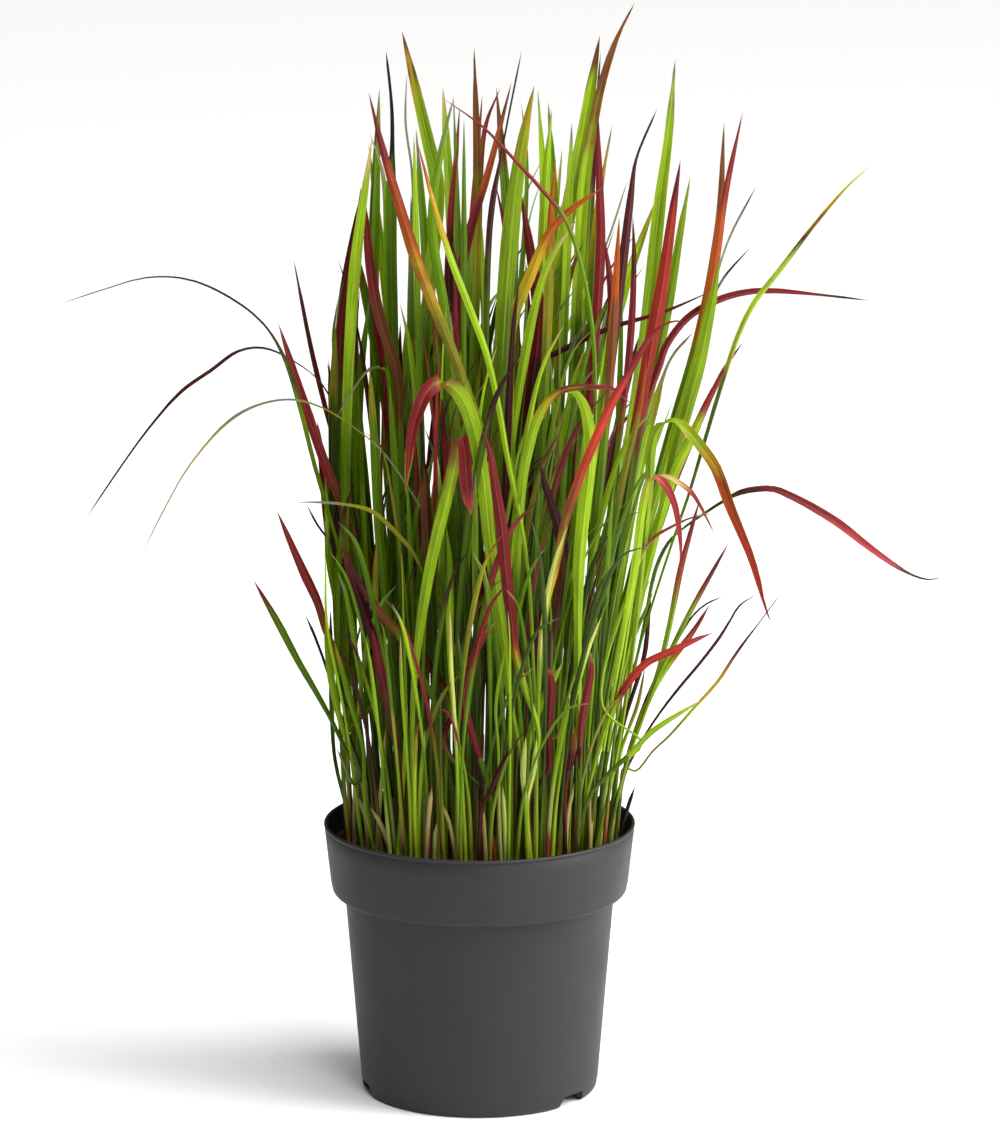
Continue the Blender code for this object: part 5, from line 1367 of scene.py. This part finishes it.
UPRIGHT_LOOKS = (
    ("green 52 olive 62 crimson 78 maroon 97 black", "green 48 brown 62 crimson 97 grey", "green 96 grey"),
    ("olive 55 brown 68 crimson 97 maroon", "green 84 brown 92 crimson", "maroon 40 black"),
    ("green 50 lime 94 olive", "olive 40 green 85 olive", "olive 34 crimson 60 maroon 78 crimson 88 brown"),
    ("olive 30 crimson 60 brown 72 crimson", "green 97 olive", "green 86 olive"),
    ("green 72 brown 88 maroon", "olive 45 brown 55 maroon 66 brown", "maroon 12 crimson"),
    ("green 60 maroon 85 black", "green 88 grey", "green 95 grey"),
    ("green 45 brown 60 black", "green 38 brown 52 maroon 80 black", "green 55 brown 76 crimson 97 black"),
    ("lime 60 olive 72 gold 77 orange 88 crimson 98 black", "lime 68 green", "green 58 maroon 72 crimson"),
    ("green 40 pale 50 olive 88 grey", "deep 40 green 97 grey", "green 97 grey"),
    ("green 85 black", "deep 30 green 60 lime 92 gold 97 brown", "green 70 grey"),
    ("green 60 crimson 86 orange 95 brown", "green 78 lime 96 olive"),
    ("green 70 maroon 84 crimson 94 brown", "green 64 olive 78 brown 97 black", "green 78 brown 88 crimson"),
    ("green 50 lime 91 crimson", "green 66 maroon 82 black", "green 96 grey"),
    ("green 45 lime 91 gold 97 brown",),
    ("green 66 lime 97 grey", "green 62 lime 97 grey", "green 52 lime 95 brown"),
    ("green 72 olive 88 orange", "green 56 olive 76 gold 84 orange 97 brown", "green 76 olive 90 brown"),
    ("green 60 lime 80 brown 97 black", "green 70 lime 97 grey", "green 75 maroon 92 black"),
    ("green 48 crimson 97 maroon", "lime 74 olive 84 crimson", "green 80 gold 93 grey"),
    ("green 55 maroon 90 black", "green 65 brown 84 orange", "green 58 crimson 88 maroon"),
    ("green 30 lime 97 grey", "lime 97 grey", "green 50 lime 90 olive"),
    ("green 54 brown 61 scarlet 90 crimson 97 maroon", "lime 68 orange 84 crimson 98 black",
     "green 66 orange 88 brown"),
    ("lime 97 grey", "lime 82 crimson 97 maroon", "lime 78 grey 92 black"),
    ("lime 78 grey 92 black", "green 62 crimson 97 black", "lime 72 olive 84 grey 94 crimson"),
    ("green 50 maroon 84 crimson 97 black", "lime 84 grey"),
    ("lime 44 gold 52 brown 64 scarlet 80 crimson 97 black", "maroon 20 crimson 90 rose",
     "lime 50 green 64 olive 86 orange"),
    ("lime 72 orange 80 crimson 97 rose", "lime 72 orange 80 crimson 97 rose", "lime 70 orange 82 crimson"),
    ("maroon 85 black", "olive 40 lime 48 gold 62 maroon 80 black", "olive 45 black"),
    ("lime 92 pale 97 straw", "lime 50 crimson 62 scarlet 92 rose", "lime 76 crimson 92 grey"),
    ("lime 46 orange 51 crimson 95 maroon", "green 50 lime 96 straw", "lime 84 gold 92 orange"),
    ("green 52 brown 62 crimson 96 olive", "lime 97 pale", "maroon 75 brown"),
    ("lime 76 rose 97 crimson", "lime 72 straw 82 rose 95 grey"),
    ("olive 20 crimson 97 olive", "maroon 36 black 88 deep", "green 58 orange 68 crimson"),
    ("lime 82 green", "deep 60 brown 82 black"),
    ("crimson 36 green 52 brown 74 maroon", "green 55 maroon 66 crimson 93 green"),
)


# Back shoots: the half of the clump that is turned away. They lean away from its middle,
# more shaded and so deeper green, with fewer red ends.
HIDDEN_SHOOTS = 14
HIDDEN_SIDES = ((-1, 0), (1, 1), (-1, 1))
HIDDEN_FEET_RADIUS = 80
HIDDEN_FEET_FRONT = -12
TRIED_FEET = 600
HIDDEN_LEAF_REACH = (400, 610)
HIDDEN_LEAF_LEAN = (0.25, 0.75)
HIDDEN_LEAF_SWING = 22
HIDDEN_LEAF_WIDTH = (4.5, 7.0)
HIDDEN_LEAF_TURN = (10, 50)
HIDDEN_PATH = ((0.4, 0.62), (0.75, 0.85), (1.05, 1))
HIDDEN_TIP_OUT = 1.05
HIDDEN_TIP_SWING = 1.1
HIDDEN_LEFT_LIMIT = ((400, 500, 610), (-100, -82, -60))
HIDDEN_SEED = 23

BACK_LOOKS = (
    "deep 55 green 97 grey", "green 97 grey", "green 70 crimson 97 maroon", "deep 80 olive 96 brown",
    "green 60 lime 97 straw", "green 78 maroon 95 black", "deep 50 green 90 brown",
)


def seed_head_spot(k, count, reach):
    """Place k of many spread evenly over a disc, as seeds are in a seed head, and its radius."""
    radius = reach * math.sqrt((k + 0.5) / count)
    angle = math.pi * (3 - math.sqrt(5)) * k
    return (radius * math.cos(angle), radius * math.sin(angle)), radius


def open_feet(taken, count):
    """Feet for more shoots: each where the soil of the middle and back is barest."""
    spots = [seed_head_spot(k, TRIED_FEET, HIDDEN_FEET_RADIUS)[0] for k in range(TRIED_FEET)]
    spots = [spot for spot in spots if spot[1] > HIDDEN_FEET_FRONT]
    taken = list(taken)
    chosen = []
    for _ in range(count):
        best = max(spots, key=lambda spot: min(math.dist(spot, foot) for foot in taken))
        taken.append(best)
        chosen.append(best)
    return chosen


def hidden_shoots(taken):
    """Plans of the shoots at the back of the clump, which lean away from its middle."""
    chance = random.Random(HIDDEN_SEED)
    plans = []
    for number, (across, depth) in enumerate(open_feet(taken, HIDDEN_SHOOTS), 1):
        leaves = []
        for _ in range(1 + len(HIDDEN_SIDES)):
            reach = chance.uniform(*HIDDEN_LEAF_REACH)
            lean = chance.uniform(*HIDDEN_LEAF_LEAN)
            swing = chance.uniform(-HIDDEN_LEAF_SWING, HIDDEN_LEAF_SWING)
            tip = across * (1 + lean * HIDDEN_TIP_OUT)
            past = np.interp(reach, *HIDDEN_LEFT_LIMIT) - tip - swing * HIDDEN_TIP_SWING
            swing += max(past, 0) / HIDDEN_TIP_SWING
            seen = [
                tuple(to_sight((across * (1 + lean * out) + swing * out ** 2,
                                depth * (1 + lean * out), reach * up)))
                for out, up in HIDDEN_PATH]
            width = chance.uniform(*HIDDEN_LEAF_WIDTH)
            turn = chance.uniform(*HIDDEN_LEAF_TURN)
            leaves.append((width, turn, seen[-1][2], seen))
        sides = [(*place, *leaf) for place, leaf in zip(HIDDEN_SIDES, leaves[1:])]
        plans.append((f"shoot_back_{number:02d}", (across, depth), leaves[0], sides))
    return plans


def grow_shoots():
    """Every shoot as a name and its leaves, leader first."""
    plans = [(*shoot, ()) for shoot in ARCHING_SHOOTS]
    plans += [(f"shoot_{number:02d}", *shoot) for number, shoot in enumerate(UPRIGHT_SHOOTS, 1)]
    plans += hidden_shoots([foot for _, foot, _, _ in plans])
    leaders = []
    for _, foot, leaf, sides in plans:
        forks = sorted({fork for _, fork, *_ in sides})
        leaders.append(leader_leaf(foot, *leaf, forks))
    settle(leaders, [])
    side_leaves = []
    for leader, (_, _, _, sides) in zip(leaders, plans):
        forks = sorted({fork for _, fork, *_ in sides})
        side_leaves.append([side_leaf(leader, forks, *side) for side in sides])
    settle([leaf for row in side_leaves for leaf in row], leaders)
    return [(name, [leader] + row) for (name, *_), leader, row in zip(plans, leaders, side_leaves)]


SHEATH_LOOKS = ("olive", "green", "pale", "olive", "lime", "olive", "straw", "green", "rose", "olive")
CUT_SHORT = ("shoot_front_folded",)
shoots = grow_shoots()
for number, (name, leaves) in enumerate(shoots):
    blades = BladeMesh(name)
    if name in ARCHING_LOOKS:
        recipes = ARCHING_LOOKS[name]
    elif name.startswith("shoot_back"):
        recipes = [blades.chance.choice(BACK_LOOKS) for _ in leaves]
    else:
        recipes = UPRIGHT_LOOKS[int(name[-2:]) - 1]
    base = SHEATH_LOOKS[number % len(SHEATH_LOOKS)]
    for leaf, recipe in zip(leaves, recipes):
        blades.add_blade(leaf, recipe, base if leaf.leader is None else None, name in CUT_SHORT)
    for leaf in leaves[1:]:
        blades.add_sheath(leaves[0], leaf, base)
    slot = "leaf_crimson" if "crimson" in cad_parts[name].data.materials[0].name else "leaf_green"
    piece = add_piece(name.replace("shoot", "blades"), blades.mesh(name), leaf_finish, slot, name)
    piece.data.set_sharp_from_angle(angle=CREASE)


# Fine leaves: the younger and older leaves that fill the clump between its shoots. The
# short ones stand round the edge of the soil, and the tall ones in the middle.
FINE_LEAVES = 260
FINE_FEET_RADIUS = 83
FINE_SEED = 11
FINE_GROUPS = 5
FINE_TURN = (0, 80)

# Least, most and usual reach of a fine leaf in the middle and at the edge of the soil. Its
# path is out and up as shares of that, and limits keep it inside the clump's outline.
TALLER_IN_MIDDLE = ((280, 600, 480), (200, 450, 290))
FINE_PATH = ((0.3, 0.45), (0.62, 0.75), (0.85, 0.92), (1.05, 1))
FRONT_LIMIT = -88
LEFT_LIMIT = ((150, 250, 350, 450, 550, 600), (-88, -90, -92, -95, -66, -55))
RIGHT_LIMIT = ((150, 250, 350, 450, 550, 600), (88, 98, 108, 118, 122, 108))
OPEN_BACK = 20
FINE_LEAN = (0.1, 0.5)
FINE_LEAN_FORWARD = 1.3
FINE_SWING = 34
FINE_DRIFT = 0.05
FINE_DROOP = (0, 0.05)
DROOPING = 0.3
DROOP_START = 0.8

# Every fine leaf has a least width, and a taller one is wider.
FINE_LEAST_WIDTH = (1.6, 2.8)
FINE_MORE_WIDTH = (0.6, 2.8)
FULL_WIDTH_HEIGHT = 400
FINE_LOOKS = (
    "green 96 grey", "green 97 straw", "deep 60 green 97 grey", "lime 97 straw", "lime 60 green 97 grey",
    "green 60 olive 93 brown", "green 72 crimson 97 maroon", "deep 70 green 96 grey", "green 50 lime 97 grey",
    "green 80 maroon 95 black", "lime 66 olive 88 brown", "brown 36 maroon 97 black", "deep 97 grey",
    "olive 50 crimson 97 black",
)


def fine_leaves():
    """Leaves by rule between the shoots, within the clump's outline as seen from the front."""
    chance = random.Random(FINE_SEED)
    soil = SOIL_TOP / MM
    leaves = []
    for k in range(FINE_LEAVES):
        foot, radius = seed_head_spot(k, FINE_LEAVES, FINE_FEET_RADIUS)
        edge = (radius / FINE_FEET_RADIUS) ** 2
        tall = chance.triangular(*TALLER_IN_MIDDLE[0])
        short = chance.triangular(*TALLER_IN_MIDDLE[1])
        reach = tall * (1 - edge) + short * edge if foot[1] < OPEN_BACK else tall
        lean = chance.uniform(*FINE_LEAN)
        swing = chance.uniform(-FINE_SWING, FINE_SWING) + FINE_DRIFT * (reach - soil)
        droop = chance.uniform(*FINE_DROOP) * reach * (1 if chance.random() < DROOPING else 0)
        seen = []
        for out, up in FINE_PATH:
            across = foot[0] * (1 + lean * out) + swing * out ** 2
            height = soil + (reach - soil) * up - droop * max(out - DROOP_START, 0) / 0.25
            low, high = np.interp(height, *LEFT_LIMIT), np.interp(height, *RIGHT_LIMIT)
            across = min(max(across, low), high)
            depth = max(foot[1] * (1 + lean * FINE_LEAN_FORWARD * out), FRONT_LIMIT)
            seen.append(tuple(to_sight((across, depth, height))))
        width = chance.uniform(*FINE_LEAST_WIDTH)
        width += chance.uniform(*FINE_MORE_WIDTH) * (reach - soil) / FULL_WIDTH_HEIGHT
        leaf = leader_leaf(foot, width, chance.uniform(*FINE_TURN), seen[-1][2], seen, ())
        leaves.append((leaf, chance.choice(FINE_LOOKS), chance.choice(SHEATH_LOOKS)))
    return leaves


# Low leaves: dry sheaths, straw and short young leaves at the front of the clump's foot.
# Foot, width, recipe and path, each read from the front.
LOW_START = 8
LOW_TURN = 20
LOW_LEAN = 1.04
LOW_LEAVES = (
    ((-76, -24), 3.0, "straw 90 grey", ((-76, 190), (-75, 215))),
    ((-62, -46), 2.6, "pale 90 straw", ((-60, 190), (-57, 227))),
    ((-49, -58), 3.2, "lime 95 straw", ((-46, 200), (-44, 240))),
    ((-37, -66), 2.8, "lime 95 straw", ((-36, 190), (-33, 225))),
    ((-32, -70), 4.4, "straw 95 brown", ((-31, 170), (-29, 190))),
    ((-8, -76), 3.0, "lime 96 straw", ((-11, 195), (-15, 238))),
    ((-54, -54), 2.6, "straw 90 grey", ((-60, 165), (-67, 177))),
    ((-46, -62), 2.4, "straw 85 brown", ((-48, 162), (-50, 170))),
    ((-14, -74), 3.0, "straw 92 grey", ((-19, 168), (-25, 182))),
    ((-27, -73), 3.2, "pale 90 straw", ((-27, 160), (-26, 167))),
    ((4, -78), 2.6, "straw 90 brown", ((2, 172), (0, 180))),
    ((16, -76), 2.8, "pale 92 straw", ((15, 175), (14, 190))),
    ((10, -77), 2.8, "orange 80 brown", ((8, 158), (7, 162))),
    ((29, -73), 4.6, "pale 60 lime", ((29, 165), (28, 182))),
    ((41, -66), 4.6, "rose 25 pale 50 lime", ((45, 190), (55, 245))),
    ((67, -44), 4.4, "straw 60 grey", ((67, 195), (66, 218))),
    ((80, -22), 3.4, "pale 40 lime", ((84, 200), (87, 240))),
    ((86, -8), 2.6, "black", ((91, 178), (95, 190))),
    ((-68, -38), 2.8, "straw 90 brown", ((-70, 172), (-76, 186))),
    ((52, -60), 3.0, "straw 88 brown", ((54, 172), (58, 192))),
    ((73, -34), 2.6, "pale 92 straw", ((76, 180), (80, 205))),
    ((-44, -66), 5.2, "olive 30 crimson 97 maroon", ((-50, 211), (-53, 232), (-56, 251))),
    ((0, -79), 5.4, "maroon 92 black", ((2, 178), (6, 185), (13, 201), (22, 218))),
    ((29, -76), 5.0, "lime 60 pale", ((28, 180), (26.6, 197), (28.3, 221))),
    ((31, -75), 4.6, "lime 60 pale", ((29, 180), (32.5, 197), (35, 220))),
    ((44, -69), 3.0, "lime 80 pale", ((47, 180), (55, 232), (64.5, 270), (74, 296))),
    ((34, -72), 3.0, "lime 60 pale", ((36, 249), (37.6, 284), (45, 327), (53.5, 353))),
    ((-64, -48), 3.6, "green 90 olive", ((-70, 180), (-71, 214), (-78, 240), (-88, 280))),
    ((-12, -77), 2.4, "lime 50 pale 90 straw", ((-13, 180), (-15, 232), (-17, 266), (-18, 301))),
    ((13, -77), 2.2, "pale 40 lime", ((12, 173), (11.5, 214), (10, 240), (16.5, 280))),
    ((-41, -69), 2.4, "lime 90 straw", ((-42, 173), (-44, 206), (-47, 249), (-48, 284))),
    ((52, -62), 4.0, "maroon 40 crimson", ((52, 182), (53.5, 197), (58.6, 225))),
    ((42, -44), 2.4, "green 78 crimson 97 black", (
        (60, 300), (70, 420), (66, 490), (52, 540), (35.6, 561), (22, 576), (2, 597), (-21.6, 614))),
)


def low_leaves():
    """The short leaves at the foot of the clump, with their recipes."""
    leaves = []
    for foot, width, recipe, points in LOW_LEAVES:
        seen = to_sight((foot[0], foot[1], SOIL_TOP / MM + LOW_START))
        path = [tuple(seen[:2])] + list(points)
        leaves.append((leader_leaf(foot, width, LOW_TURN, foot[1] * LOW_LEAN, path, ()), recipe, None))
    return leaves


between = fine_leaves() + low_leaves()
settle([leaf for leaf, _, _ in between], [leaf for _, leaves in shoots for leaf in leaves])
for group in range(FINE_GROUPS):
    blades = BladeMesh(f"fine_{group}")
    for leaf, recipe, base in between[group::FINE_GROUPS]:
        blades.add_blade(leaf, recipe, base)
    name = f"fine_leaves_{group + 1}"
    piece = add_piece(name, blades.mesh(name), leaf_finish, "leaf_green")
    piece.data.set_sharp_from_angle(angle=CREASE)
